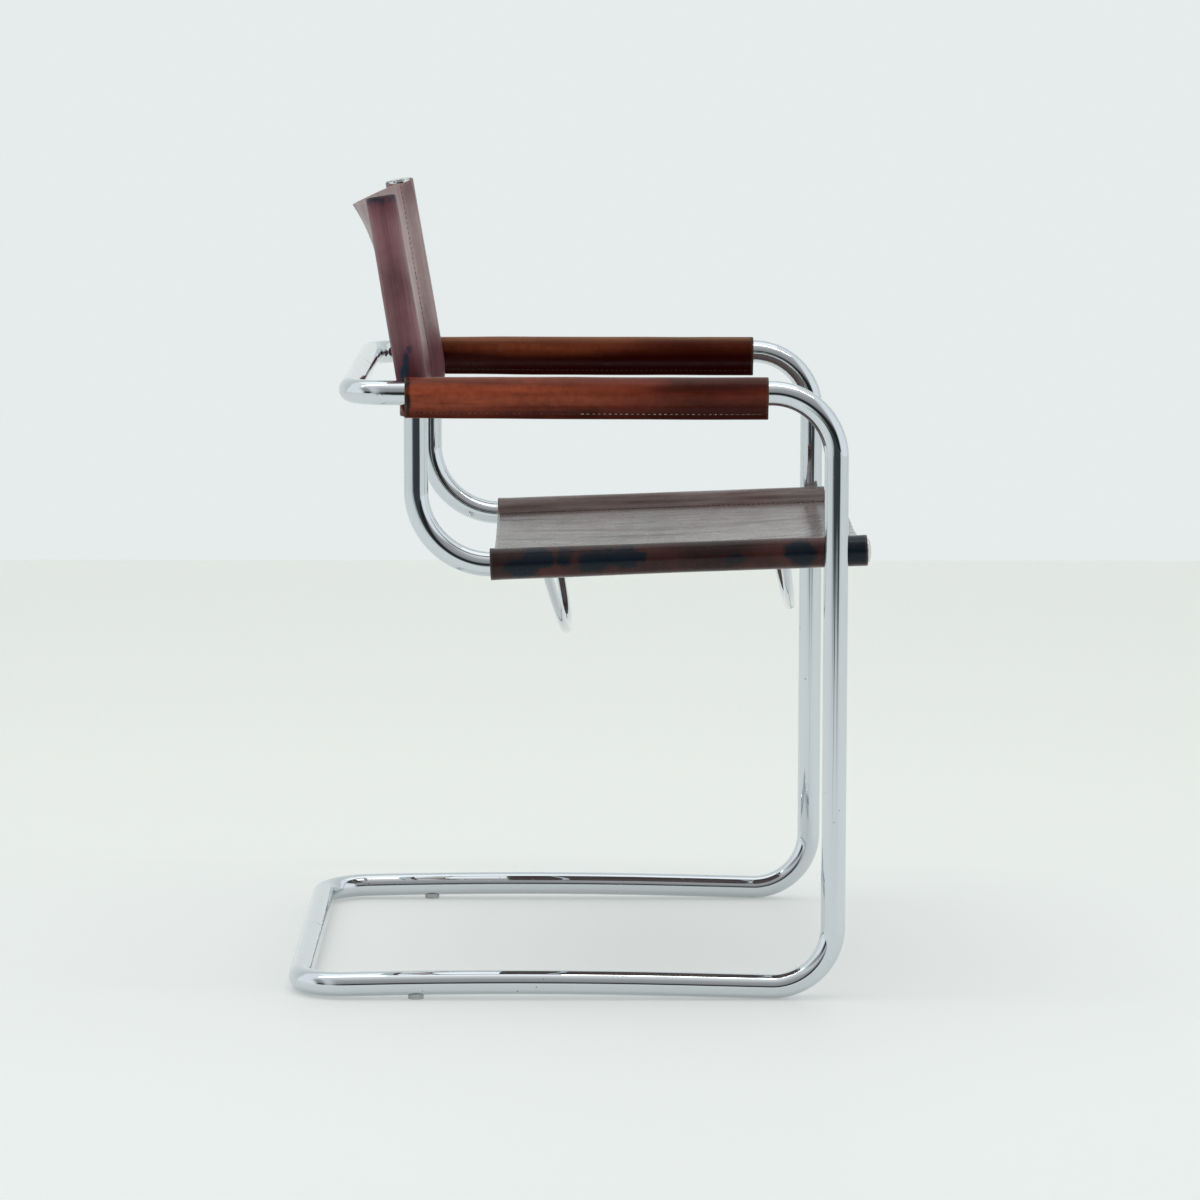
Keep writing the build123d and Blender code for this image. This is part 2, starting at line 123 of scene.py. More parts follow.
def mesh_from(name: str, points: Array, faces: list[Face], smooth: bool = True) -> Mesh:
    """Mesh of given points and faces, shaded smooth unless told otherwise."""
    mesh = bpy.data.meshes.new(name)
    mesh.from_pydata([tuple(p) for p in points], [], faces)
    mesh.polygons.foreach_set("use_smooth", [smooth] * len(mesh.polygons))
    mesh.validate()
    mesh.update()
    return mesh


def settle(piece: Object, material: Material, slot: Slot, *nodes: str) -> Object:
    """Dresses a finished piece, rides it on the chair and lets it stand for its CAD nodes.

    Args:
        piece: Finished object.
        material: Its material, if it has none yet.
        slot: Material slot of the record; not used.
        nodes: CAD nodes that the piece stands for.

    Returns:
        The same object.
    """
    if not piece.data.materials:
        piece.data.materials.append(material)
    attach(piece, ROOT)
    if nodes:
        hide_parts(*nodes)
    LOG.info("%s: %d faces", piece.name, len(piece.data.polygons))
    return piece


# ------------ node graphs
class NodeGraph:
    """Short ways to build a node tree."""

    def __init__(self, tree: NodeTree) -> None:
        """Takes a tree and empties it."""
        self.tree = tree
        tree.nodes.clear()

    def add(self, kind: str, inputs: Inputs | None = None, **settings: object) -> Node:
        """Adds a node.

        Args:
            kind: Type of the node.
            inputs: Its inputs by name or number, each a socket to link or a plain value.
            settings: Its properties.

        Returns:
            The node.
        """
        node = self.tree.nodes.new(kind)
        for key, value in settings.items():
            setattr(node, key, value)
        for key, value in (inputs or {}).items():
            socket = node.inputs[key]
            if isinstance(value, Socket):
                self.tree.links.new(value, socket)
            else:
                socket.default_value = (*value, 1.0) if socket.type == "RGBA" else value
        return node

    def out(self, kind: str, inputs: Inputs | None = None, **settings: object) -> Socket:
        """Adds a node and gives its first output."""
        return self.add(kind, inputs, **settings).outputs[0]

    def place(self) -> Socket:
        """Object coordinates in metres."""
        return self.stretch(self.add("ShaderNodeTexCoord").outputs["Object"], (1, 1, 1))

    def surface(self, along: float = 1, across: float = 1) -> Socket:
        """The piece's own UV in metres along and across the hide, stretched by two scales."""
        return self.stretch(self.out("ShaderNodeUVMap", uv_map="hide"), (along, across, 1))

    def stretch(self, vector: Socket, scale: Triple) -> Socket:
        """Coordinates stretched by a scale."""
        return self.out("ShaderNodeMapping", {"Vector": vector, "Scale": scale})

    def split(self, vector: Socket) -> dict[str, Socket]:
        """Coordinates X, Y and Z of a vector, by name."""
        return dict(self.add("ShaderNodeSeparateXYZ", {"Vector": vector}).outputs.items())

    def attribute(self, name: str) -> Socket:
        """A number painted on the piece's points."""
        return self.add("ShaderNodeAttribute", attribute_name=name).outputs["Fac"]

    def camera_ray(self) -> Socket:
        """1 where the camera looks, 0 where a reflection or a shadow does."""
        return self.add("ShaderNodeLightPath").outputs["Is Camera Ray"]

    def noise(self, at: Socket, scale: float, detail: float = 3.0, rough: float = 0.55) -> Socket:
        """Noise texture's factor."""
        inputs = {"Vector": at, "Scale": scale, "Detail": detail, "Roughness": rough}
        return self.out("ShaderNodeTexNoise", inputs)

    def grain(self, along: float, across: float, detail: float, rough: float) -> Socket:
        """Noise drawn out along the hide, with waves per metre along and across."""
        return self.noise(self.surface(along, across), 1.0, detail, rough)

    def cells(self, vector: Socket, scale: float, feature: str = "DISTANCE_TO_EDGE") -> Socket:
        """Voronoi texture's distance."""
        return self.out("ShaderNodeTexVoronoi", {"Vector": vector, "Scale": scale}, feature=feature)

    def ramp(
        self, value: Socket, low: float, high: float, start: float = 0.0, end: float = 1.0,
        kind: str = "SMOOTHSTEP",
    ) -> Socket:
        """Range map from low..high to start..end."""
        inputs = {"Value": value, "From Min": low, "From Max": high, "To Min": start, "To Max": end}
        return self.out("ShaderNodeMapRange", inputs, interpolation_type=kind)

    def maths(self, operation: str, first: Socket, second: Socket) -> Socket:
        """Math node of two values."""
        return self.out("ShaderNodeMath", {0: first, 1: second}, operation=operation)

    def blend(self, factor: Socket, first: Tone, second: Tone) -> Socket:
        """Mixes two colours by a factor."""
        inputs = {"Factor": factor, 6: first, 7: second}
        return self.add("ShaderNodeMix", inputs, data_type="RGBA").outputs[2]

    def bump(self, height: Socket, strength: float, depth: float, *below: Socket) -> Socket:
        """Bump of a height in metres, over another normal if one is given."""
        inputs = {"Height": height, "Strength": strength, "Distance": depth}
        inputs.update({"Normal": normal for normal in below})
        return self.out("ShaderNodeBump", inputs)


class MaterialGraph(NodeGraph):
    """Node tree of a new material."""

    def __init__(self, name: str) -> None:
        """Starts the material."""
        self.material = bpy.data.materials.new(name)
        self.material.use_nodes = True
        super().__init__(self.material.node_tree)

    def finish(self, inputs: Inputs) -> Material:
        """Adds the shader with its inputs and gives the material."""
        shader = self.out("ShaderNodeBsdfPrincipled", inputs)
        self.add("ShaderNodeOutputMaterial", {"Surface": shader})
        return self.material


# ------------ finishes
@dataclass(frozen=True)
class BrightChrome:
    """Mirror-bright chromium plating with hairline rubs and a few rust pits."""

    name: str = "bright_chrome"
    colour: Triple = (0.67, 0.71, 0.735)
    pit_colour: Triple = (0.06, 0.05, 0.045)
    smooth: float = 0.012
    rubbed: float = 0.045
    pit_size: float = 0.06

    def make(self) -> Material:
        """Builds the material."""
        graph = MaterialGraph(self.name)
        where = graph.place()
        pits = graph.cells(where, 75.0, "F1")
        damp = graph.ramp(graph.split(where)["Z"], 0.06, 0.02, 0.0, 0.16)
        rust = graph.ramp(graph.maths("ADD", graph.noise(where, 7.0, 2.0), damp), 0.57, 0.66)
        dots = graph.maths("MULTIPLY", graph.ramp(pits, self.pit_size, self.pit_size * 0.6), rust)
        rubs = graph.ramp(graph.noise(where, 26.0, 5.0, 0.7), 0.42, 0.72, self.smooth, self.rubbed)
        wave = graph.bump(graph.noise(where, 60.0, 2.0), 0.05, 0.0002)
        return graph.finish({
            "Base Color": graph.blend(dots, self.colour, self.pit_colour),
            "Roughness": graph.maths("MAXIMUM", rubs, dots),
            "Metallic": 1.0,
            "Normal": graph.bump(dots, 0.4, -0.0002, wave),
        })


@dataclass(frozen=True)
class ScuffedChrome:
    """Chromium plating of the end caps, crinkled and dulled by knocks."""

    name: str = "scuffed_chrome"
    colour: Triple = (0.74, 0.73, 0.72)
    stain: Triple = (0.30, 0.26, 0.22)

    def make(self) -> Material:
        """Builds the material."""
        graph = MaterialGraph(self.name)
        where = graph.place()
        dirt = graph.ramp(graph.noise(where, 240.0, 5.0, 0.65), 0.5, 0.72)
        crinkle = graph.ramp(graph.cells(where, 420.0), 0.0, 0.16)
        return graph.finish({
            "Base Color": graph.blend(dirt, self.colour, self.stain),
            "Roughness": graph.ramp(dirt, 0.0, 1.0, 0.2, 0.55),
            "Metallic": 1.0,
            "Normal": graph.bump(crinkle, 0.6, 0.0004),
        })


@dataclass(frozen=True)
class CloudedFinish:
    """Finish clouded between two colours by one noise of a scale, a detail and a roughness."""

    name: str
    dark: Triple
    light: Triple
    cloud: Triple
    rough: Pair | float
    metallic: float = 0.0
    scuffed: float = 0.0

    def make(self) -> Material:
        """Builds the material, with roughness from the noise where it is given as a pair."""
        graph = MaterialGraph(self.name)
        cloud = graph.noise(graph.place(), *self.cloud)
        inputs = {"Base Color": graph.blend(cloud, self.dark, self.light), "Metallic": self.metallic}
        fixed = isinstance(self.rough, float)
        inputs["Roughness"] = self.rough if fixed else graph.ramp(cloud, 0.3, 0.7, *self.rough)
        if self.scuffed:
            inputs["Normal"] = graph.bump(cloud, self.scuffed, 0.0002)
        return graph.finish(inputs)


ZINC_STEEL = CloudedFinish(
    "zinc_steel", (0.36, 0.36, 0.37), (0.55, 0.56, 0.58), (300.0, 4.0, 0.55), (0.25, 0.45), metallic=1.0
)
GREY_NYLON = CloudedFinish(
    "grey_nylon", (0.45, 0.445, 0.44), (0.62, 0.625, 0.63), (260.0, 5.0, 0.65), (0.62, 0.45), scuffed=0.25
)
# Near-black dots that stand for the shade inside the needle holes: painted shade.
NEEDLE_HOLE_SHADE = CloudedFinish(
    "needle_hole_shade", (0.008, 0.006, 0.005), (0.03, 0.016, 0.01), (900.0, 3.0, 0.55), 0.85
)


@dataclass(frozen=True)
class WaxedThread:
    """Waxed linen thread."""

    name: str
    colour: Triple
    dirt: Triple

    def make(self) -> Material:
        """Builds the material."""
        graph = MaterialGraph(self.name)
        where = graph.place()
        age = graph.ramp(graph.noise(where, 90.0, 4.0), 0.35, 0.65)
        return graph.finish({
            "Base Color": graph.blend(age, self.dirt, self.colour),
            "Roughness": 0.62,
            "Normal": graph.bump(graph.noise(where, 2600.0, 2.0), 0.4, 0.0002),
        })


@dataclass(frozen=True)
class SaddleLeather:
    """Thick vegetable-tanned hide, waxed, creased and darkened by use.

    The pieces carry painted numbers: stain for black stains, shade for painted shade with some
    darker mottling, glow for warm painted light, a sheen number for painted sheen with some
    bleaching, and rim for the raw edge of the hide.
    """

    name: str
    deep: Triple
    body: Triple
    warm: Triple
    # colour of the painted sheen, with some bleaching
    sheen_bloom: Triple
    stain: Triple = (0.003, 0.010, 0.019)
    raw_edge: Triple = (0.19, 0.12, 0.075)
    streak: Pair = (14.0, 60.0)
    streaked: Triple = (0.46, 0.78, 0.7)
    fold: Pair = (22.0, 190.0)
    fold_depth: float = 0.35
    scratch: Triple = (0.42, 0.30, 0.30)
    scratched: float = 0.0
    polished: float = 0.27
    dry: float = 0.5
    wax: float = 0.3
    wax_rough: float = 0.2
    index: float = 1.2

    def colours(self, graph: NodeGraph) -> tuple[Socket, Socket]:
        """Builds the hide's colour with its painted light, sheen and shade, and the mask of its stains."""
        where = graph.place()
        clouds = graph.noise(where, 16.0, 4.0, 0.6)
        mottle = graph.ramp(graph.noise(where, 110.0, 4.0, 0.6), 0.2, 0.75, 0.6, 1.0)
        low, high, most = self.streaked
        along, across = self.streak
        streaks = graph.ramp(graph.grain(along, across, 5.0, 0.65), low, high, 0.0, most)
        haze = graph.ramp(graph.grain(along * 0.7, across * 1.3, 4.0, 0.6), 0.34, 0.70, 0.35, 0.95)
        lines = graph.ramp(graph.grain(7.0, 620.0, 2.0, 0.5), 0.66, 0.74, 0.0, self.scratched)
        spread = graph.ramp(graph.noise(where, 58.0, 6.0, 0.7), 0.25, 0.75, -0.36, 0.36)
        stain = graph.attribute("stain")
        blotch = graph.maths("ADD", stain, graph.ramp(clouds, 0.2, 0.8, -0.25, 0.25))
        soaked = graph.ramp(graph.maths("ADD", blotch, spread), 0.22, 0.80, 0.0, 0.97)
        dark = graph.maths("MULTIPLY", soaked, graph.ramp(stain, 0.0, 0.15))
        # glow paints warm light, the sheen number a painted sheen and shade painted shade into the colour
        layers = [
            (graph.maths("MULTIPLY", graph.attribute("glow"), mottle), self.warm),
            (streaks, self.deep),
            (graph.maths("MULTIPLY", haze, graph.attribute("faded_sheen")), self.sheen_bloom),
            (graph.attribute("shade"), self.deep),
            (lines, self.scratch),
            (dark, self.stain),
            (graph.attribute("rim"), self.raw_edge),
        ]
        tone = graph.blend(graph.ramp(clouds, 0.32, 0.68), self.deep, self.body)
        for mask, colour in layers:
            tone = graph.blend(mask, tone, colour)
        return tone, dark

    def relief(self, graph: NodeGraph) -> Socket:
        """Builds the pores, the creases and the unevenness of the hide."""
        pores = graph.ramp(graph.cells(graph.surface(), 900.0, "F1"), 0.0, 0.5)
        pored = graph.bump(pores, 0.18, 0.00025)
        folded = graph.bump(graph.grain(*self.fold, 6.0, 0.62), self.fold_depth, 0.0011, pored)
        return graph.bump(graph.noise(graph.place(), 110.0, 4.0, 0.6), 0.2, 0.0006, folded)

    def make(self) -> Material:
        """Builds the material."""
        graph = MaterialGraph(self.name)
        tone, dark = self.colours(graph)
        worn = graph.ramp(graph.noise(graph.place(), 38.0, 4.0), 0.35, 0.7, self.polished, self.dry)
        return graph.finish({
            "Base Color": tone,
            "Roughness": graph.maths("ADD", worn, graph.ramp(dark, 0.0, 1.0, 0.0, 0.06)),
            "IOR": self.index,
            "Coat Weight": self.wax,
            "Coat IOR": self.index,
            "Coat Roughness": self.wax_rough,
            "Normal": self.relief(graph),
        })


SEAT_HIDE = SaddleLeather(
    "seat_leather", deep=(0.020, 0.008, 0.009), body=(0.060, 0.016, 0.013), warm=(0.13, 0.045, 0.036),
    sheen_bloom=(0.215, 0.175, 0.168), wax=1.0, polished=0.2, dry=0.36, fold_depth=0.4, index=1.21,
)
BACK_HIDE = SaddleLeather(
    "back_leather", deep=(0.125, 0.036, 0.045), body=(0.25, 0.095, 0.120), warm=(0.57, 0.43, 0.39),
    sheen_bloom=(0.43, 0.34, 0.345), stain=(0.014, 0.035, 0.060), streak=(5.0, 150.0),
    streaked=(0.44, 0.68, 0.75), scratched=0.3, wax=0.4, wax_rough=0.32, polished=0.34,
)
ARM_HIDES = {
    # The far arm gets a darker copy of the armrest leather as painted shade.
    Side.LEFT: SaddleLeather(
        "shaded_armrest_leather", deep=(0.028, 0.001, 0.0006), body=(0.055, 0.003, 0.001),
        warm=(0.22, 0.052, 0.020), sheen_bloom=(0.34, 0.19, 0.10), streak=(4.0, 70.0),
        streaked=(0.44, 0.74, 0.62), wax=0.0, dry=0.42, index=1.14,
    ),
    Side.RIGHT: SaddleLeather(
        "armrest_leather", deep=(0.038, 0.004, 0.002), body=(0.138, 0.018, 0.011),
        warm=(0.40, 0.086, 0.038), sheen_bloom=(0.100, 0.037, 0.024), stain=(0.010, 0.004, 0.005),
        streak=(4.0, 70.0), streaked=(0.44, 0.74, 0.62), fold_depth=0.5, wax=0.1, dry=0.42,
    ),
}


# ------------ sizes that pieces share
@dataclass(frozen=True)
class ChairSizes:
    """Sizes of the steel and the places where leather hangs from it, in metres."""

    tube_radius: float = 12.5 * MM
    frame_x: float = 262.5 * MM
    rail_x: float = 230.0 * MM
    rear_bar_y: float = 286.5 * MM
    leg_y: float = -261.5 * MM
    back_bar_y: float = 230.5 * MM
    upright_y: float = 164.3 * MM
    arm_z: float = 622.2 * MM
    kink_z: float = 610.7 * MM
    seat_z: float = 457.6 * MM
    seat_pitch: float = radians(2.2)
    back_lean: float = radians(9.5)
    seat_front_y: float = -294.5 * MM
    seat_rear_y: float = 88.5 * MM
    back_run: float = 206.0 * MM
    back_overrun: float = 2.0 * MM
    back_drop: float = 14.0 * MM
    kink_bend: float = 110.0 * MM
    rail_apex_z: float = 18.9235 * MM
    rail_crown_y: float = 60.0 * MM
    rail_bend: float = 6933.04 * MM
    rail_slope: float = tan(radians(1.4))

    def seat_axis(self, y: float, x: float) -> Array:
        """Point of a seat rail's axis at a distance along the chair."""
        return np.array([x, y, self.seat_z + (self.leg_y - y) * tan(self.seat_pitch)])

    def back_axis(self, distance: float, x: float) -> Array:
        """Point of the leaning axis at a distance up from the kink."""
        return np.array([x, self.upright_y, self.kink_z]) + distance * tilted(self.back_lean)


# ------------ tubes
@dataclass
class BentTube:
    """Round tube along straight runs joined by bends, closed at both ends."""

    corners: list[Array]
    bends: list[float]
    radius: float
    sides: int = 64
    step: float = radians(2.5)
    margin: float = 2.0 * MM
    end_break: float = 0.05 * MM

    def centreline(self) -> Array:
        """Points of the axis, close together in the bends."""
        points = [self.corners[0]]
        for index, bend in enumerate(self.bends, start=1):
            before, corner, after = self.corners[index - 1 : index + 2]
            arrive, leave = unit(corner - before), unit(after - corner)
            turn = acos(float(np.clip(arrive @ leave, -1.0, 1.0)))
            inward = unit(leave - arrive * float(arrive @ leave))
            start = corner - arrive * (bend * tan(turn / 2))
            count = max(8, ceil(turn / self.step))
            for angle in np.linspace(0.0, turn, count + 1):
                forth, aside = bend * sin(angle), bend * (1 - cos(angle))
                points.append(start + arrive * forth + inward * aside)
        points.append(self.corners[-1])
        return self.steady(np.array(points))

    def steady(self, points: Array) -> Array:
        """Adds points near both ends of each straight run, so that its reflections stay straight."""
        steps = [points[:1]]
        for start, end in zip(points[:-1], points[1:]):
            reach = float(np.linalg.norm(end - start))
            if reach > 6 * self.margin:
                along = (end - start) / reach * self.margin
                steps.append(np.array([start + along, end - along]))
            steps.append(end[None])
        return np.vstack(steps)

    def build(self, name: str) -> Object:
        """Sweeps a circle along the centreline into a closed, smooth tube."""
        return sweep_circle(name, self.centreline(), self.radius, self.sides, self.end_break)


def sweep_circle(name: str, line: Array, radius: float, sides: int, end_break: float) -> Object:
    """Makes a closed tube round a line of points.

    Args:
        name: Name of the piece.
        line: Points of the tube's axis.
        radius: Radius of the tube.
        sides: Points round it.
        end_break: Size of the small bevel at both ends.

    Returns:
        The tube, smooth with flat ends.
    """
    tangents = np.gradient(line, axis=0)
    tangents[0] = line[1] - line[0]
    tangents[-1] = line[-1] - line[-2]
    tangents /= np.linalg.norm(tangents, axis=1)[:, None]
    first, last = tangents[0] * end_break, tangents[-1] * end_break
    line = np.vstack([line[:1], line[:1] + first, line[1:-1], line[-1:] - last, line[-1:]])
    tangents = np.vstack([tangents[:1], tangents, tangents[-1:]])
    radii = np.full(len(line), radius)
    radii[[0, -1]] -= end_break
    side = unit(np.cross(tangents[0], ANY_SIDE))
    angles = np.linspace(0.0, 2.0 * pi, sides, endpoint=False)[:, None]
    points = []
    for point, tangent, reach in zip(line, tangents, radii):
        side = unit(side - tangent * float(side @ tangent))
        ring = np.cos(angles) * side + np.sin(angles) * np.cross(tangent, side)
        points.append(point + ring * reach)
    points = np.vstack([*points, line[:1], line[-1:]])
    start, end, tail = len(points) - 2, len(points) - 1, len(points) - 2 - sides
    around = [(k, (k + 1) % sides) for k in range(sides)]
    faces = [(b + k, b + m, b + sides + m, b + sides + k) for b in range(0, tail, sides) for k, m in around]
    flat_from = len(faces)
    for k, m in around:
        faces += [(start, m, k), (end, tail + k, tail + m)]
    mesh = mesh_from(name, points, faces)
    for polygon in mesh.polygons[flat_from:]:
        polygon.use_smooth = False
    return new_object(name, mesh)


@dataclass
class SteelFrame:
    """Side frames, side rails, bows and caps."""

    sizes: ChairSizes
    chrome: Material
    cap_chrome: Material
    floor_corner: float = 50.0 * MM
    front_bend: float = 62.0 * MM
    arm_bend: float = 66.0 * MM
    back_corner: float = 42.0 * MM
    seat_bend: float = 76.0 * MM
    bow_radius: float = 5.2 * MM
    bow_reach: float = 7.0 * MM
    bow_points: int = 73
    bow_sides: int = 32
    bow_break: float = 0.4 * MM
    cap_sides: int = 56
    cap_depth: float = 12.0 * MM
    cap_lip: float = 0.9 * MM
    cap_dent: float = 0.28 * MM

    def frame_corners(self, side: Side) -> list[Array]:
        """Corners of a side frame's axis, from the floor bar's middle to the upper bar's."""
        s = self.sizes
        x = s.frame_x * side.value
        rear_z = s.rail_apex_z - s.rail_slope * (s.rear_bar_y - s.rail_crown_y)
        front_z = s.rail_apex_z - s.rail_slope * (s.rail_crown_y - s.leg_y)
        floor = [(0.0, s.rear_bar_y, rear_z), (x, s.rear_bar_y, rear_z), (x, s.rail_crown_y, s.rail_apex_z)]
        front = [(x, s.leg_y, front_z), (x, s.leg_y, s.arm_z)]
        back = [(x, s.back_bar_y, s.arm_z), (0.0, s.back_bar_y, s.arm_z)]
        return [np.array(place) for place in floor + front + back]

    def bend(self, node: str, corners: list[Array], *bends: float) -> None:
        """Bends and chromes the tube of one CAD node."""
        tube = BentTube(corners, list(bends), self.sizes.tube_radius)
        settle(tube.build(f"bent_{node}"), self.chrome, Slot.TUBE, node)

    def build_frame(self, side: Side) -> None:
        """Bends one side frame half."""
        bends = (self.floor_corner, self.sizes.rail_bend, self.front_bend, self.arm_bend, self.back_corner)
        self.bend(f"frame_half_{side.name.lower()}", self.frame_corners(side), *bends)

    def build_side_rail(self, side: Side) -> None:
        """Bends one side rail."""
        s = self.sizes
        x = s.rail_x * side.value
        corners = [s.seat_axis(y, x) for y in (s.seat_front_y, s.upright_y)]
        corners += [s.back_axis(up, x) for up in (0.0, s.back_run)]
        self.bend(f"side_rail_{side.name.lower()}", corners, self.seat_bend, s.kink_bend)

    def build_bow(self, node: str, y: float, depth: float, tilt: float) -> None:
        """Bends one bow between the seat rails.

        Args:
            node: CAD node that the bow stands for.
            y: Where it meets the seat rails' axes.
            depth: Depth of its arc below that line.
            tilt: Forward tilt of its plane, in radians.
        """
        half = self.sizes.rail_x
        radius = (half**2 + depth**2) / (2 * depth)
        widest, centre = asin(half / radius) + self.bow_reach / radius, radius - depth
        level = self.sizes.seat_axis(y, 0.0)
        down = -tilted(tilt)
        angles = np.linspace(widest, -widest, self.bow_points)
        line = [level + radius * sin(a) * ACROSS + down * (radius * cos(a) - centre) for a in angles]
        bow = (np.array(line), self.bow_radius, self.bow_sides, self.bow_break)
        piece = sweep_circle(f"bent_{node}", *bow)
        settle(piece, self.chrome, Slot.TUBE, node)

    def build_caps(self, node: str, end: Array, outward: Array, rise: float) -> None:
        """Turns a pair of domed caps, one in each tube's end, with knocked and crinkled faces.

        Args:
            node: CAD node that both caps stand for.
            end: Tube end on the left side.
            outward: Direction out of that end.
            rise: Height of the dome.
        """
        radius, sides, depth, lip = self.sizes.tube_radius, self.cap_sides, self.cap_depth, self.cap_lip
        outline = [
            (radius * sin(a), lip + (rise - lip) * cos(a))
            for a in np.linspace(0.12, pi / 2 - 0.1, 12)
        ]
        outline += [(radius, 0.7 * MM), (radius, 0.05 * MM), (radius - 2.2 * MM, 0.02 * MM)]
        outline += [(radius - 2.4 * MM, 0.4 * MM - depth), (radius - 2.9 * MM, -depth)]
        rows = len(outline)
        up = np.cross(outward, ACROSS)
        points: list[Array] = []
        faces: list[Face] = []
        for sign in (1, -1):
            origin = end * np.array([sign, 1, 1])
            start = len(points)
            for k in range(sides):
                angle = 2 * pi * k / sides
                around = ACROSS * cos(angle) + up * sin(angle)
                for r, h in outline:
                    spot = origin + around * r + outward * h
                    if h > 0.75 * MM:
                        dent = noise.noise(Vector(spot * 420.0)) + 0.5 * noise.noise(Vector(spot * 900.0))
                        spot = spot + outward * dent * self.cap_dent
                    points.append(spot)
            top, bottom = len(points), len(points) + 1
            points += [origin + outward * rise, origin - outward * depth]
            for k in range(sides):
                a, b = start + k * rows, start + ((k + 1) % sides) * rows
                faces.append((top, a, b))
                faces += [(a + j, a + j + 1, b + j + 1, b + j) for j in range(rows - 1)]
                faces.append((a + rows - 1, bottom, b + rows - 1))
        piece = new_object(f"turned_{node}", mesh_from(node, np.array(points), faces))
        settle(piece, self.cap_chrome, Slot.CAP, node)

    def build(self) -> None:
        """Builds every steel piece that shows."""
        s = self.sizes
        for build_tube in (self.build_frame, self.build_side_rail):
            for side in Side:
                build_tube(side)
        self.build_bow("rear_bow", s.upright_y - 130.2 * MM, 99.8 * MM, radians(13.4))
        self.build_bow("front_bow", s.leg_y + 51.1 * MM, 81.7 * MM, radians(10.0))
        forward = np.array([0.0, -cos(s.seat_pitch), sin(s.seat_pitch)])
        seat_end, back_end = s.seat_axis(s.seat_front_y, s.rail_x), s.back_axis(s.back_run, s.rail_x)
        self.build_caps("seat_rail_caps", seat_end, forward, 4.5 * MM)
        self.build_caps("upright_caps", back_end, tilted(s.back_lean), 1.8 * MM)


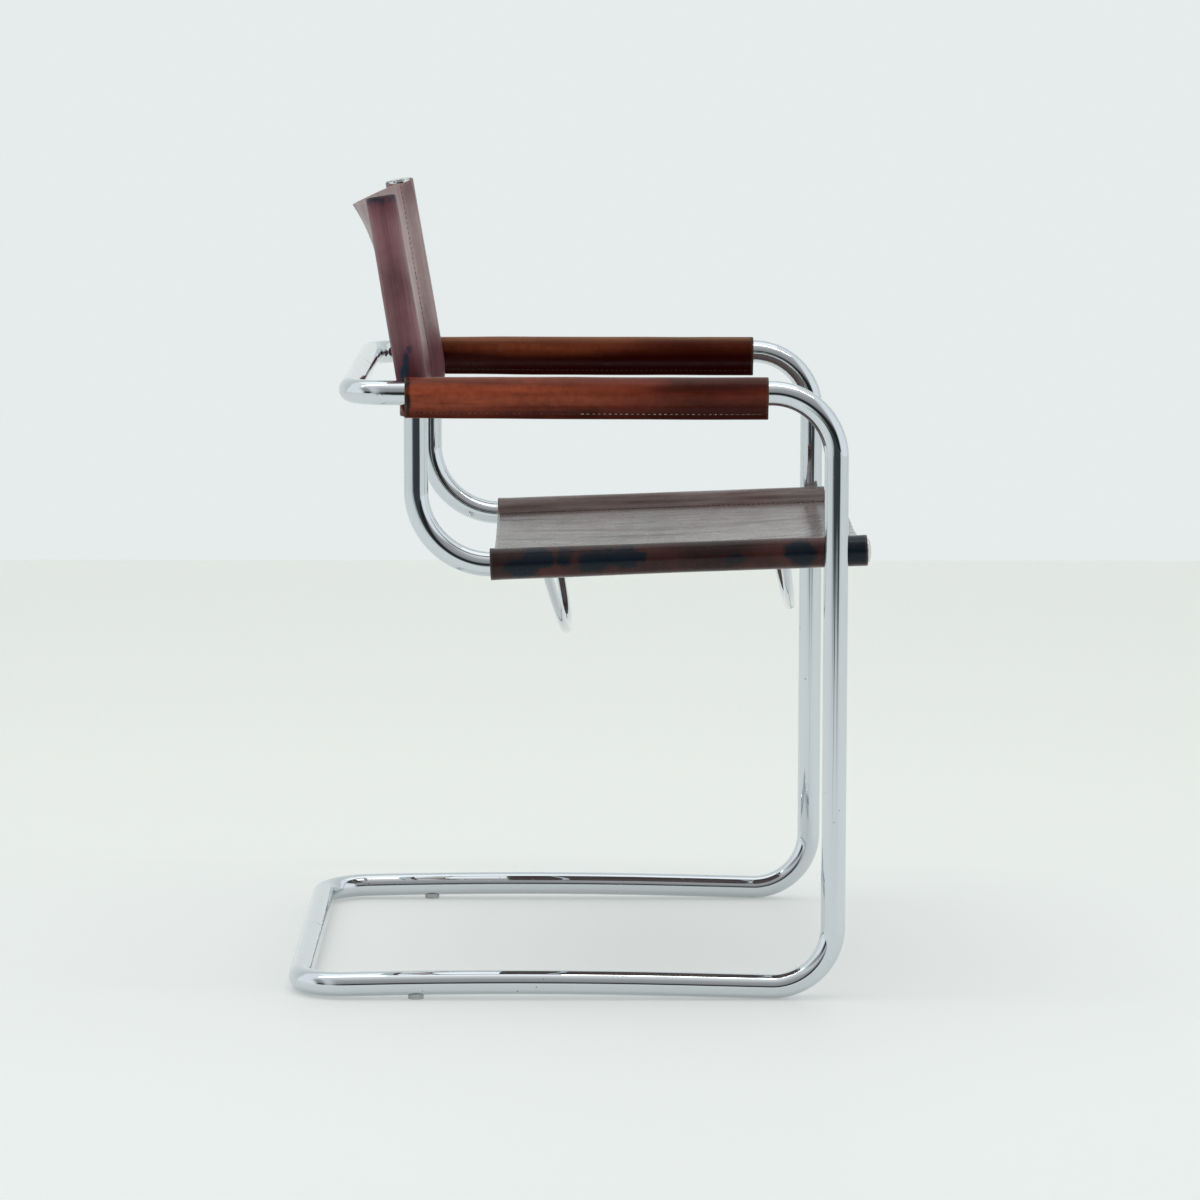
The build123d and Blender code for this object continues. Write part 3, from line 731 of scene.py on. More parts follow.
# ------------ leather
@dataclass
class Hide:
    """A piece of hide of even thickness about its middle surface.

    The grid's first axis runs along the tube and its second across the hide, from one cut
    edge to the other.
    """

    middle: Array
    thickness: float
    flip: bool = False
    marks: dict[str, Array] = field(default_factory=dict)
    edge_swell: float = 0.2
    edge_at: float = 0.62
    rim_bleed: float = 0.25

    def lengths(self) -> tuple[Array, Array]:
        """Distances along and across the hide at each point, in metres."""
        along = np.linalg.norm(np.diff(self.middle, axis=0), axis=2)
        across = np.linalg.norm(np.diff(self.middle, axis=1), axis=2)
        down = np.vstack([np.zeros((1, along.shape[1])), np.cumsum(along, axis=0)])
        over = np.hstack([np.zeros((across.shape[0], 1)), np.cumsum(across, axis=1)])
        return down, over

    def normals(self) -> Array:
        """Unit normals of the middle surface."""
        along = np.gradient(self.middle, axis=0)
        across = np.gradient(self.middle, axis=1)
        normal = np.cross(across, along) * (-1.0 if self.flip else 1.0)
        return normal / np.linalg.norm(normal, axis=2)[:, :, None]

    def rim(self) -> Array:
        """Grid indexes round the edge of the hide, in order."""
        rows, columns = self.middle.shape[:2]
        index = np.arange(rows * columns).reshape(rows, columns)
        return np.concatenate([index[0, :], index[1:, -1], index[-1, -2::-1], index[-2:0:-1, 0]])

    def build(self, name: str) -> Object:
        """Makes the closed hide, with softly rounded cut edges.

        Args:
            name: Name of the piece.

        Returns:
            Object with the UV map hide, the painted numbers of its marks and the number rim.
        """
        rows, columns = self.middle.shape[:2]
        normal = self.normals() * (self.thickness / 2)
        outer = (self.middle + normal).reshape(-1, 3)
        inner = (self.middle - normal).reshape(-1, 3)
        rim = self.rim()
        flat = self.middle.reshape(-1, 3)
        lift = normal.reshape(-1, 3)[rim]
        tangent = np.roll(flat[rim], -1, axis=0) - np.roll(flat[rim], 1, axis=0)
        out = np.cross(lift, tangent)
        out /= np.linalg.norm(out, axis=1)[:, None]
        out *= 1.0 if self.flip else -1.0  # away from the hide
        swell, count, ring = self.thickness * self.edge_swell, rows * columns, len(rim)
        edges = [flat[rim] + lift * share + out * swell for share in (self.edge_at, -self.edge_at)]
        points = np.vstack([outer, inner, *edges])
        faces: list[Face] = []
        for a in (i * columns + j for i in range(rows - 1) for j in range(columns - 1)):
            quad = (a, a + 1, a + columns + 1, a + columns)
            faces += [quad, tuple(count + q for q in reversed(quad))]
        strip = [rim, 2 * count + np.arange(ring), 2 * count + ring + np.arange(ring), count + rim]
        for upper, lower in zip(strip[:-1], strip[1:]):
            for k in range(ring):
                m = (k + 1) % ring
                faces.append((int(upper[m]), int(upper[k]), int(lower[k]), int(lower[m])))
        if self.flip:
            faces = [face[::-1] for face in faces]
        mesh = mesh_from(name, points, faces)
        self.paint(mesh, count, ring)
        piece = new_object(name, mesh)
        piece["rows"], piece["columns"] = rows, columns
        return piece

    def paint(self, mesh: Mesh, count: int, ring: int) -> None:
        """Writes the UV map and the painted numbers."""
        down, over = self.lengths()
        rim = self.rim()
        uv = np.stack([down.ravel(), over.ravel()], axis=1)
        uv = np.vstack([uv, uv, uv[rim], uv[rim]])
        layer = mesh.uv_layers.new(name="hide")
        corner = np.zeros(len(mesh.loops), np.int32)
        mesh.loops.foreach_get("vertex_index", corner)
        layer.data.foreach_set("uv", uv[corner].astype(np.float32).ravel())
        near_edge = np.zeros(count)
        near_edge[rim] = self.rim_bleed
        rims = np.concatenate([near_edge, near_edge, np.ones(2 * ring)])
        for key, grid in self.marks.items():
            values = grid.ravel()
            self.write(mesh, key, np.concatenate([values, values, values[rim], values[rim]]))
        self.write(mesh, "rim", rims)

    @staticmethod
    def write(mesh: Mesh, key: str, values: Array) -> None:
        """Stores one painted number on the mesh's points."""
        attribute = mesh.attributes.new(key, "FLOAT", "POINT")
        attribute.data.foreach_set("value", values.astype(np.float32))

    def hang(self, name: str, leather: Material, slot: Slot, node: str, *tubes: str) -> Object:
        """Makes the hide and dresses it.

        Args:
            name: Name of the piece.
            leather: Its material.
            slot: Material slot of the record.
            node: CAD node that the hide stands for.
            tubes: Pieces that it is stretched over; not used.

        Returns:
            The dressed hide.
        """
        piece = settle(self.build(name), leather, slot, node)
        return piece


@dataclass
class SleeveSection:
    """Cross-section of a hide that is stretched between two tubes and sewn round each.

    In the section X runs to the sitter's left and Y towards the sitter.
    """

    rail_x: float
    thickness: float
    flange: float
    fillet: float = 11.0 * MM
    flange_gap: float = 0.06 * MM
    flange_points: int = 7
    fillet_points: int = 8
    wrap_points: int = 46
    seam_points: int = 5
    sheet_points: int = 68

    @staticmethod
    def hang(share: Array, fold: float) -> Array:
        """Share of the sag at a share of the way from the middle to a sleeve, more folded or less."""
        return (1.0 - np.abs(share) ** (2.0 - 0.75 * fold)) ** (1.2 - 0.15 * fold)

    def half(self, radius: float, sag: float, fold: float = 0.0) -> Array:
        """Middle line of the left half, from the turned edge to the chair's middle.

        Args:
            radius: Radius of the hide's middle line round the tube.
            sag: Depth of the sheet's middle below the sleeves' axes.
            fold: How much the sheet folds at its middle, from 0 to 1.

        Returns:
            Points of the section, from the turned edge round the tube to x = 0.
        """
        lower = -(self.thickness + self.flange_gap)
        seam_x = sqrt((radius + self.fillet) ** 2 - self.fillet**2)
        edge = radius + self.thickness / 2 + self.flange
        start_x = sqrt((radius + self.fillet) ** 2 - (self.fillet - lower) ** 2)
        points = [(-x, lower) for x in np.linspace(edge, start_x + 0.8 * MM, self.flange_points)]
        below = (-start_x, lower - self.fillet)
        end = atan2(-below[1], -below[0])
        points += self.arc(below, self.fillet, pi / 2, end, self.fillet_points)
        begin = atan2(below[1], below[0])
        finish = atan2(self.fillet, -seam_x)
        wrap = np.linspace(begin, finish, self.wrap_points)[1:-1]
        points += [(radius * cos(a), radius * sin(a)) for a in wrap]
        above = (-seam_x, self.fillet)
        start = atan2(-above[1], -above[0])
        points += self.arc(above, self.fillet, start, -pi / 2, self.fillet_points)
        inner = self.rail_x - edge
        points += [(-x, 0.0) for x in np.linspace(seam_x, edge, self.seam_points)[1:]]
        reach = np.linspace(1.0, 0.0, self.sheet_points)[1:]
        sheet = [(inner * q - self.rail_x, -sag * float(self.hang(q, fold))) for q in reach]
        return np.array([(x + self.rail_x, y) for x, y in points + sheet])

    @staticmethod
    def arc(centre: Pair, radius: float, start: float, end: float, count: int) -> list[Pair]:
        """Points of an arc, the short way round."""
        turn = (end - start + pi) % (2 * pi) - pi
        angles = start + turn * np.linspace(0.0, 1.0, count)
        return [(centre[0] + radius * cos(a), centre[1] + radius * sin(a)) for a in angles]

    def whole(self, radius: float, sag: float, fold: float = 0.0) -> Array:
        """Middle line from the right turned edge to the left one."""
        left = self.half(radius, sag, fold)
        right = left[:-1] * np.array([-1.0, 1.0])
        return np.vstack([right, left[::-1]])


def patches(points: Array, spots: list[tuple[float, ...]]) -> Array:
    """Soft round patches painted on points.

    Args:
        points: Array of points in metres.
        spots: One tuple for each patch: centre x, y, z, radii x, y, z, and strength.

    Returns:
        The strongest patch at each point.
    """
    total = np.zeros(points.shape[:-1])
    for x, y, z, rx, ry, rz, strength in spots:
        offset = (points - np.array([x, y, z])) / np.array([rx, ry, rz])
        reach = np.sqrt((offset**2).sum(-1))
        total = np.maximum(total, strength * (1.0 - smoothstep(reach, 0.35, 1.3)))
    return total


@dataclass
class SeatSling:
    """Leather seat stretched between the seat rails."""

    sizes: ChairSizes
    leather: Material
    thickness: float = 3.0 * MM
    stations: int = 150
    rear_sag: float = 10.0 * MM
    middle_sag: float = 18.0 * MM
    front_sag: float = 7.5 * MM
    flange: float = 14.0 * MM

    def sag(self, share: float) -> float:
        """Sag at a share of the way from the rear edge to the front edge."""
        rear, middle, front = self.rear_sag, self.middle_sag, self.front_sag
        ends = rear * (1 - share) * (1 - 2 * share)
        return ends + 4 * middle * share * (1 - share) + front * share * (2 * share - 1)

    def grid(self) -> Array:
        """Middle surface, from the rear edge to the front edge."""
        s = self.sizes
        section = SleeveSection(s.rail_x, self.thickness, self.flange)
        upward = tilted(s.seat_pitch)
        rows = []
        for share in np.linspace(0.0, 1.0, self.stations):
            y = s.seat_rear_y + (s.seat_front_y - s.seat_rear_y) * share
            flare = 0.5 * MM * (exp(-share * 38) + 0.6 * exp(-(1 - share) * 38))
            radius = s.tube_radius + self.thickness / 2 + 0.35 * MM + flare
            radius += 0.35 * MM * exp(-(((share - 0.12) / 0.18) ** 2))
            line = section.whole(radius, self.sag(share))
            origin = s.seat_axis(y, 0.0)
            rows.append(origin + line[:, :1] * ACROSS + line[:, 1:] * upward)
        grid = np.array(rows)
        return grid + self.creases(grid)[:, :, None] * upward

    def creases(self, grid: Array) -> Array:
        """Height of the creases and dents of the sheet and sleeves, in metres."""
        reach = np.abs(grid[:, :, 0])
        sheet = 1.0 - smoothstep(reach, 0.150, 0.200)
        long = hum(grid, (55.0, 5.0, 0.0), 3.1) * 0.42 * MM
        fine = hum(grid, (160.0, 14.0, 0.0), 8.7) * 0.16 * MM
        broad = hum(grid, (9.0, 7.0, 0.0), 1.7) * 1.1 * MM
        edge = np.linspace(0.0, 1.0, grid.shape[0])[:, None]
        rear_fold = -0.8 * MM * np.exp(-(((edge - 0.055) / 0.012) ** 2))
        sleeves = smoothstep(reach, 0.214, 0.224) * hum(grid, (0.0, 16.0, 30.0), 5.2) * 0.12 * MM
        return sheet * (long + fine + broad + rear_fold) + sleeves

    def build(self) -> Object:
        """Makes the seat with its stains, painted light and sheen on the sleeves and sheet, and a darker
        near sleeve.
        """
        grid = self.grid()
        near = -0.246
        stains = [
            (near, 0.060, 0.443, 0.03, 0.022, 0.014, 0.95), (near, 0.042, 0.452, 0.03, 0.021, 0.014, 0.95),
            (near, 0.014, 0.454, 0.03, 0.012, 0.012, 0.60), (near, -0.016, 0.449, 0.03, 0.02, 0.015, 0.92),
            (near, -0.047, 0.453, 0.03, 0.03, 0.013, 0.88), (near, -0.115, 0.446, 0.03, 0.018, 0.008, 0.45),
            (near, -0.160, 0.452, 0.03, 0.014, 0.009, 0.65), (near, -0.227, 0.458, 0.03, 0.019, 0.016, 0.95),
            (near, -0.284, 0.461, 0.04, 0.024, 0.020, 0.85), (near, 0.088, 0.446, 0.04, 0.006, 0.020, 0.6),
        ]
        x, y, _ = np.moveaxis(grid, -1, 0)
        # glow paints warm light on both sleeves
        glow = np.clip(0.25 + 0.5 * hum(grid, (4.0, 9.0, 4.0), 2.2), 0.0, 1.0)
        glow *= smoothstep(np.abs(x), 0.205, 0.22)
        # shade paints the near sleeve darker in patches and towards its front end
        front = 0.9 * smoothstep(-y, 0.255, 0.270)
        shade = np.clip(0.15 + 0.5 * hum(grid, (4.0, 26.0, 40.0), 6.1) + front, 0.0, 1.0)
        shade = smoothstep(-x, 0.225, 0.240) * shade
        # The sheet and the far sleeve get a painted sheen with some bleaching.
        faded_sheen = np.clip(0.8 + 0.5 * hum(grid, (9.0, 6.0, 0.0), 7.7), 0.0, 1.0)
        faded_sheen = (1.0 - smoothstep(np.abs(x), 0.190, 0.212)) * faded_sheen + 0.95 * smoothstep(x, 0.205, 0.22)
        marks = {"stain": patches(grid, stains), "shade": shade, "glow": glow, "faded_sheen": faded_sheen}
        hide = Hide(grid, self.thickness, True, marks)
        return hide.hang("leather_seat", self.leather, Slot.SEAT, "seat_sling", *SIDE_RAILS)


@dataclass
class BackSling:
    """Leather back stretched between the uprights, curling rearward at the top."""

    sizes: ChairSizes
    leather: Material
    thickness: float = 2.9 * MM
    stations: int = 96
    top_sag: float = 41.5 * MM
    low_sag: float = 15.5 * MM
    curl: float = 62.0 * MM
    top_dip: float = 6.0 * MM
    sleeve_dip: float = 4.5 * MM
    right_rise: float = 2.6 * MM
    left_drop: float = 1.4 * MM
    flange: float = 14.0 * MM

    def length(self) -> float:
        """Length of the sleeves' axis."""
        return self.sizes.back_run + self.sizes.back_overrun + self.sizes.back_drop

    def axis(self, height: float) -> tuple[Array, Array]:
        """Axis point in the chair's middle plane and the axis direction.

        Args:
            height: Distance along the axis from the sleeves' lower ends.

        Returns:
            The point and the unit direction.
        """
        s = self.sizes
        lean, bend = s.back_lean, s.kink_bend
        reach = bend * tan(lean / 2)
        straight = s.back_drop - reach
        low = np.array([0.0, s.upright_y, s.kink_z - s.back_drop])
        if height <= straight:
            return low + height * tilted(0.0), tilted(0.0)
        if height < straight + bend * lean:
            angle = (height - straight) / bend
            rise = np.array([0.0, bend * (1 - cos(angle)), straight + bend * sin(angle)])
            return low + rise, tilted(angle)
        beyond = height - straight - bend * lean + reach
        return s.back_axis(beyond, 0.0), tilted(lean)

    def grid(self) -> Array:
        """Middle surface, from the lower edge to the upper edge."""
        s = self.sizes
        section = SleeveSection(s.rail_x, self.thickness, self.flange, fillet=9.0 * MM)
        total = self.length()
        rows = []
        for share in np.linspace(0.0, 1.0, self.stations):
            fade = exp(-total * (1 - share) / self.curl)
            sag = self.low_sag + (self.top_sag - self.low_sag) * fade
            loose = 0.15 * MM + 0.75 * MM * (1 - share) ** 1.5
            line = section.whole(s.tube_radius + self.thickness / 2 + loose, sag, fade)
            x, reach = line[:, 0], np.abs(line[:, 0])
            hung = section.hang(np.minimum(reach / 0.2, 1.0), fade)
            inner = 1.0 - smoothstep(reach, s.rail_x - 0.020, s.rail_x + 0.014)
            cut = self.right_rise * smoothstep(-x, 0.19, 0.22) - self.left_drop * smoothstep(x, 0.19, 0.22)
            heights = total * share + (cut - self.top_dip * hung - self.sleeve_dip * inner) * fade
            row = []
            for (across, toward), height in zip(line, heights):
                point, direction = self.axis(float(height))
                sitter = np.array([0.0, -direction[2], direction[1]])
                row.append(point + across * ACROSS + sitter * toward)
            rows.append(row)
        grid = np.array(rows)
        return grid + self.waves(grid)[:, :, None] * np.array([0.0, -1.0, 0.0])

    def waves(self, grid: Array) -> Array:
        """Height of the soft waves of the sheet and the sleeves, in metres."""
        reach = np.abs(grid[:, :, 0])
        sheet = 1.0 - smoothstep(reach, 0.150, 0.200)
        broad = hum(grid, (8.0, 0.0, 9.0), 4.4) * 1.2 * MM
        fine = hum(grid, (60.0, 0.0, 22.0), 9.1) * 0.22 * MM
        sleeves = smoothstep(reach, 0.212, 0.222) * hum(grid, (0.0, 34.0, 10.0), 6.6) * 0.3 * MM
        return sheet * (broad + fine) + sleeves

    def build(self) -> Object:
        """Makes the back with its stains, painted light and sheen, and painted shade low down."""
        grid = self.grid()
        stains = [
            (-0.246, 0.1750, 0.638, 0.020, 0.007, 0.014, 0.78),
            (-0.246, 0.1735, 0.654, 0.020, 0.005, 0.012, 0.72),
            (-0.246, 0.1710, 0.664, 0.020, 0.006, 0.006, 0.50),
            (-0.246, 0.1620, 0.640, 0.020, 0.006, 0.012, 0.45),
            # The last patch darkens the top end of the near sleeve.
            (-0.246, 0.1990, 0.8190, 0.030, 0.030, 0.012, 0.52),
        ]
        x, _, z = np.moveaxis(grid, -1, 0)
        # glow paints warm light on the far side at middle heights and a painted sheen beside the near sleeve
        height = smoothstep(z, 0.64, 0.70) * (1.0 - smoothstep(z, 0.75, 0.81))
        beside = smoothstep(x, -0.210, -0.201) * (1.0 - smoothstep(x, -0.17, 0.02))
        beside *= 1.0 - smoothstep(z, 0.69, 0.76)
        glow = smoothstep(x, -0.1, 0.15) * (0.15 + 0.85 * height)
        glow = np.clip(glow + 0.3 * hum(grid, (6.0, 40.0, 8.0), 2.9) + beside, 0.0, 1.0)
        inner = smoothstep(x, -0.209, -0.195)
        # shade paints the lower part darker as painted shade, and darkens the top of the near sleeve
        dark_to = 0.672 - 0.018 * smoothstep(x, -0.2, 0.2) + 0.016 * hum(grid, (24.0, 0.0, 0.0), 1.3)
        low = 1.0 - smoothstep((z - dark_to) / 0.045, -1.0, 0.0)
        low *= 1.0 - 0.45 * smoothstep(0.16 - np.abs(x), 0.0, 0.08)
        shade = np.clip(low + 0.5 * smoothstep(z, 0.79, 0.815) * (1.0 - inner), 0.0, 0.85)
        # The sheet gets a painted sheen with some bleaching, less where shade is painted.
        faded_sheen = (0.22 + 0.6 * inner + 0.2 * beside) * (1.0 - shade)
        faded_sheen *= 1.0 - 0.4 * smoothstep(z, 0.775, 0.80)
        marks = {"stain": patches(grid, stains), "shade": shade, "glow": glow, "faded_sheen": faded_sheen}
        hide = Hide(grid, self.thickness, False, marks)
        return hide.hang("leather_back", self.leather, Slot.SEAT, "back_sling", *SIDE_RAILS)


@dataclass
class ArmrestCover:
    """Leather wrapped over one arm and stitched together below it."""

    sizes: ChairSizes
    leather: Material
    side: Side
    thickness: float = 3.3 * MM
    front_y: float = -191.5 * MM
    rear_y: float = 173.4 * MM
    flange_drop: float = 24.6 * MM
    seam_rise: float = 4.9 * MM
    fillet: float = 13.0 * MM
    stations: int = 130
    flange_points: int = 7
    fillet_points: int = 8
    wrap_points: int = 24

    def section(self, radius: float, drop: float) -> Array:
        """Middle line across the cover, from the inner lower edge over the arm to the outer one."""
        half = self.thickness / 2 + 0.03 * MM
        centre_z = -sqrt((radius + self.fillet) ** 2 - (half + self.fillet) ** 2)
        flank = [(half, z) for z in np.linspace(-drop, centre_z - 0.3 * MM, self.flange_points)]
        centre = (half + self.fillet, centre_z)
        end = atan2(-centre[1], -centre[0])
        flank += SleeveSection.arc(centre, self.fillet, pi, end, self.fillet_points)
        begin = atan2(centre[1], centre[0])
        wrap = np.linspace(begin, pi / 2, self.wrap_points)[1:]
        flank += [(radius * cos(a), radius * sin(a)) for a in wrap]
        right = np.array(flank)
        left = right[:-1] * np.array([-1.0, 1.0])
        return np.vstack([left, right[::-1]])

    def grid(self) -> Array:
        """Middle surface, from the rear edge to the front edge."""
        s = self.sizes
        x = s.frame_x * self.side.value
        rows = []
        for share in np.linspace(0.0, 1.0, self.stations):
            y = self.rear_y + (self.front_y - self.rear_y) * share
            bulge = 0.2 * MM + 0.15 * MM * sin(pi * share) ** 0.5
            radius = s.tube_radius + self.thickness / 2 + bulge
            drop = self.flange_drop + 1.0 * MM * smoothstep(share, 0.0, 0.45) + 0.4 * MM * share
            line = self.section(radius, drop)
            across, up = line[:, 0], line[:, 1]
            inward = smoothstep(-across * self.side.value, 0.0005, 0.004)
            skew = 4.2 * MM * (1 - share) ** 9 * inward * smoothstep(-up, 0.004, 0.014)
            rows.append(np.stack([across + x, y + skew, up + s.arm_z], axis=1))
        grid = np.array(rows)
        away = grid - np.array([x, 0.0, s.arm_z])
        away[:, :, 1] = 0.0
        away /= np.linalg.norm(away, axis=2)[:, :, None] + 1e-9
        dents = hum(grid, (40.0, 14.0, 40.0), 7.3 + self.side.value) * 0.28 * MM
        return grid + away * dents[:, :, None]

    def build(self) -> Object:
        """Makes one cover with dark-stained ends, warm painted light and sheen above, and painted shade low
        down.
        """
        grid = self.grid()
        far = self.side is Side.LEFT
        x, z = self.sizes.frame_x * self.side.value, self.sizes.arm_z
        ends = [(self.rear_y, 0.006, 0.7), (self.front_y, 0.004, 0.6)]
        stains = [(x, y, z, 0.03, reach, 0.03, strength) for y, reach, strength in ends]
        y, rise = grid[:, :, 1], grid[:, :, 2] - z
        dulled, clouded = (0.45, 0.0) if far else (0.85, 0.6)
        # glow paints warm light on the upper flank, more of it towards the rear
        rearward = 0.25 + 0.75 * smoothstep(y, -0.15, 0.12)
        upward = smoothstep(rise, -0.022, 0.002) * (1.0 - dulled * smoothstep(rise, 0.001, 0.012))
        glow = np.clip(rearward * (0.35 + upward) + 0.3 * hum(grid, (10.0, 12.0, 60.0), 4.9), 0.0, 1.0)
        # shade darkens the cover towards the front, paints shade on its lower part and adds darker mottling
        forward = smoothstep(-y, -0.02, 0.16)
        low = 1.0 - smoothstep(rise, -0.024, -0.004)
        cloudy = np.clip(hum(grid, (4.0, 14.0, 110.0), 8.3), 0.0, 1.0) * smoothstep(rise, -0.006, 0.006)
        shade = 0.75 * forward * (1.0 - 0.6 * upward) + 0.42 * low + clouded * cloudy
        # A painted sheen along the top.
        faded_sheen = 0.7 * smoothstep(rise, 0.006, 0.013)
        if far:
            # The far arm's lower part gets painted shade, and the arm darkens towards its rear end.
            shade += 0.9 * (1.0 - smoothstep(rise, -0.008, 0.005))
            shade += 0.5 * smoothstep(y, 0.06, 0.15)
            faded_sheen = 0.7 * smoothstep(rise, 0.008, 0.015)
        shade = np.clip(shade - faded_sheen, 0.0, 0.92)
        side = self.side.name.lower()
        marks = {"stain": patches(grid, stains), "shade": shade, "glow": glow, "faded_sheen": faded_sheen}
        hide, arm = Hide(grid, self.thickness, True, marks), f"bent_frame_half_{side}"
        node = f"armrest_cover_{side}"
        return hide.hang(f"leather_armrest_{side}", self.leather, Slot.ARMREST, node, arm)


# ------------ stitching
class StitchShape(Enum):
    """What a row of stitching repeats."""

    THREAD = "thread"
    HOLE = "hole"


@dataclass
class Stitching:
    """Rows of stitches along seams, made by one Geometry Nodes tree."""

    shape: StitchShape
    material: Material
    pitch: float = 5.5 * MM
    length: float = 3.4 * MM
    thickness: float = 1.0 * MM
    jitter: float = 0.12 * MM
    seed: int = 7

    def tree(self) -> NodeTree:
        """Builds the tree: a seam line in, realized stitches out."""
        tree = bpy.data.node_groups.new(f"stitch_{self.shape.value}", "GeometryNodeTree")
        graph = NodeGraph(tree)
        numbers = ("Pitch", "Stitch Length", "Stitch Thickness", "Jitter")
        kinds = {"Seam": "Geometry", **dict.fromkeys(numbers, "Float"), "Seed": "Int"}
        kinds["Material"] = "Material"
        for name, kind in kinds.items():
            tree.interface.new_socket(name, in_out="INPUT", socket_type=f"NodeSocket{kind}")
        tree.interface.new_socket("Stitches", in_out="OUTPUT", socket_type="NodeSocketGeometry")
        given = graph.add("NodeGroupInput").outputs
        curve = graph.out("GeometryNodeMeshToCurve", {"Mesh": given["Seam"]})
        spaced = {"Curve": curve, "Length": given["Pitch"]}
        ball = graph.out("GeometryNodeMeshUVSphere", {"Segments": 8, "Rings": 6, "Radius": 0.5})
        thick, long = given["Stitch Thickness"], given["Stitch Length"]
        tangent = graph.out("GeometryNodeInputTangent")
        placed = {
            "Points": graph.out("GeometryNodeResampleCurve", spaced, mode="LENGTH"),
            "Instance": graph.out("GeometryNodeSetShadeSmooth", {"Geometry": ball}),
            "Rotation": graph.out("FunctionNodeAlignRotationToVector", {"Vector": tangent}, axis="Z"),
            "Scale": graph.out("ShaderNodeCombineXYZ", {"X": thick, "Y": thick, "Z": long}),
        }
        stitches = graph.out("GeometryNodeInstanceOnPoints", placed)
        wander = graph.out("FunctionNodeRandomValue", {"Seed": given["Seed"]}, data_type="FLOAT_VECTOR")
        centred = graph.out("ShaderNodeVectorMath", {0: wander, 1: (0.5, 0.5, 0.5)}, operation="SUBTRACT")
        spread = graph.out("ShaderNodeVectorMath", {0: centred, "Scale": given["Jitter"]}, operation="SCALE")
        moved = {"Instances": stitches, "Translation": spread, "Local Space": False}
        solid = graph.out("GeometryNodeTranslateInstances", moved)
        solid = graph.out("GeometryNodeRealizeInstances", {"Geometry": solid})
        solid = graph.out("GeometryNodeSetMaterial", {"Geometry": solid, "Material": given["Material"]})
        graph.add("NodeGroupOutput", {"Stitches": solid})
        return tree

    def build(self, name: str, seams: list[Array]) -> Object:
        """Sews rows of stitches and turns them into a plain mesh.

        Args:
            name: Name of the piece.
            seams: Points of each seam line.

        Returns:
            The stitches as one mesh.
        """
        edges, start = [], 0
        for seam in seams:
            edges += [(start + k, start + k + 1) for k in range(len(seam) - 1)]
            start += len(seam)
        lines = bpy.data.meshes.new(f"{name}_lines")
        lines.from_pydata([tuple(p) for p in np.vstack(seams)], edges, [])
        piece = new_object(name, lines)
        modifier = piece.modifiers.new("stitches", "NODES")
        modifier.node_group = self.tree()
        values = (self.pitch, self.length, self.thickness, self.jitter, self.seed, self.material)
        sockets = [item for item in modifier.node_group.interface.items_tree if item.in_out == "INPUT"]
        for socket, value in zip(sockets[1:], values):
            modifier[socket.identifier] = value
        graph = bpy.context.evaluated_depsgraph_get()
        solid = bpy.data.meshes.new_from_object(piece.evaluated_get(graph), depsgraph=graph)
        piece.modifiers.clear()
        piece.data = solid
        solid.name = name
        return piece


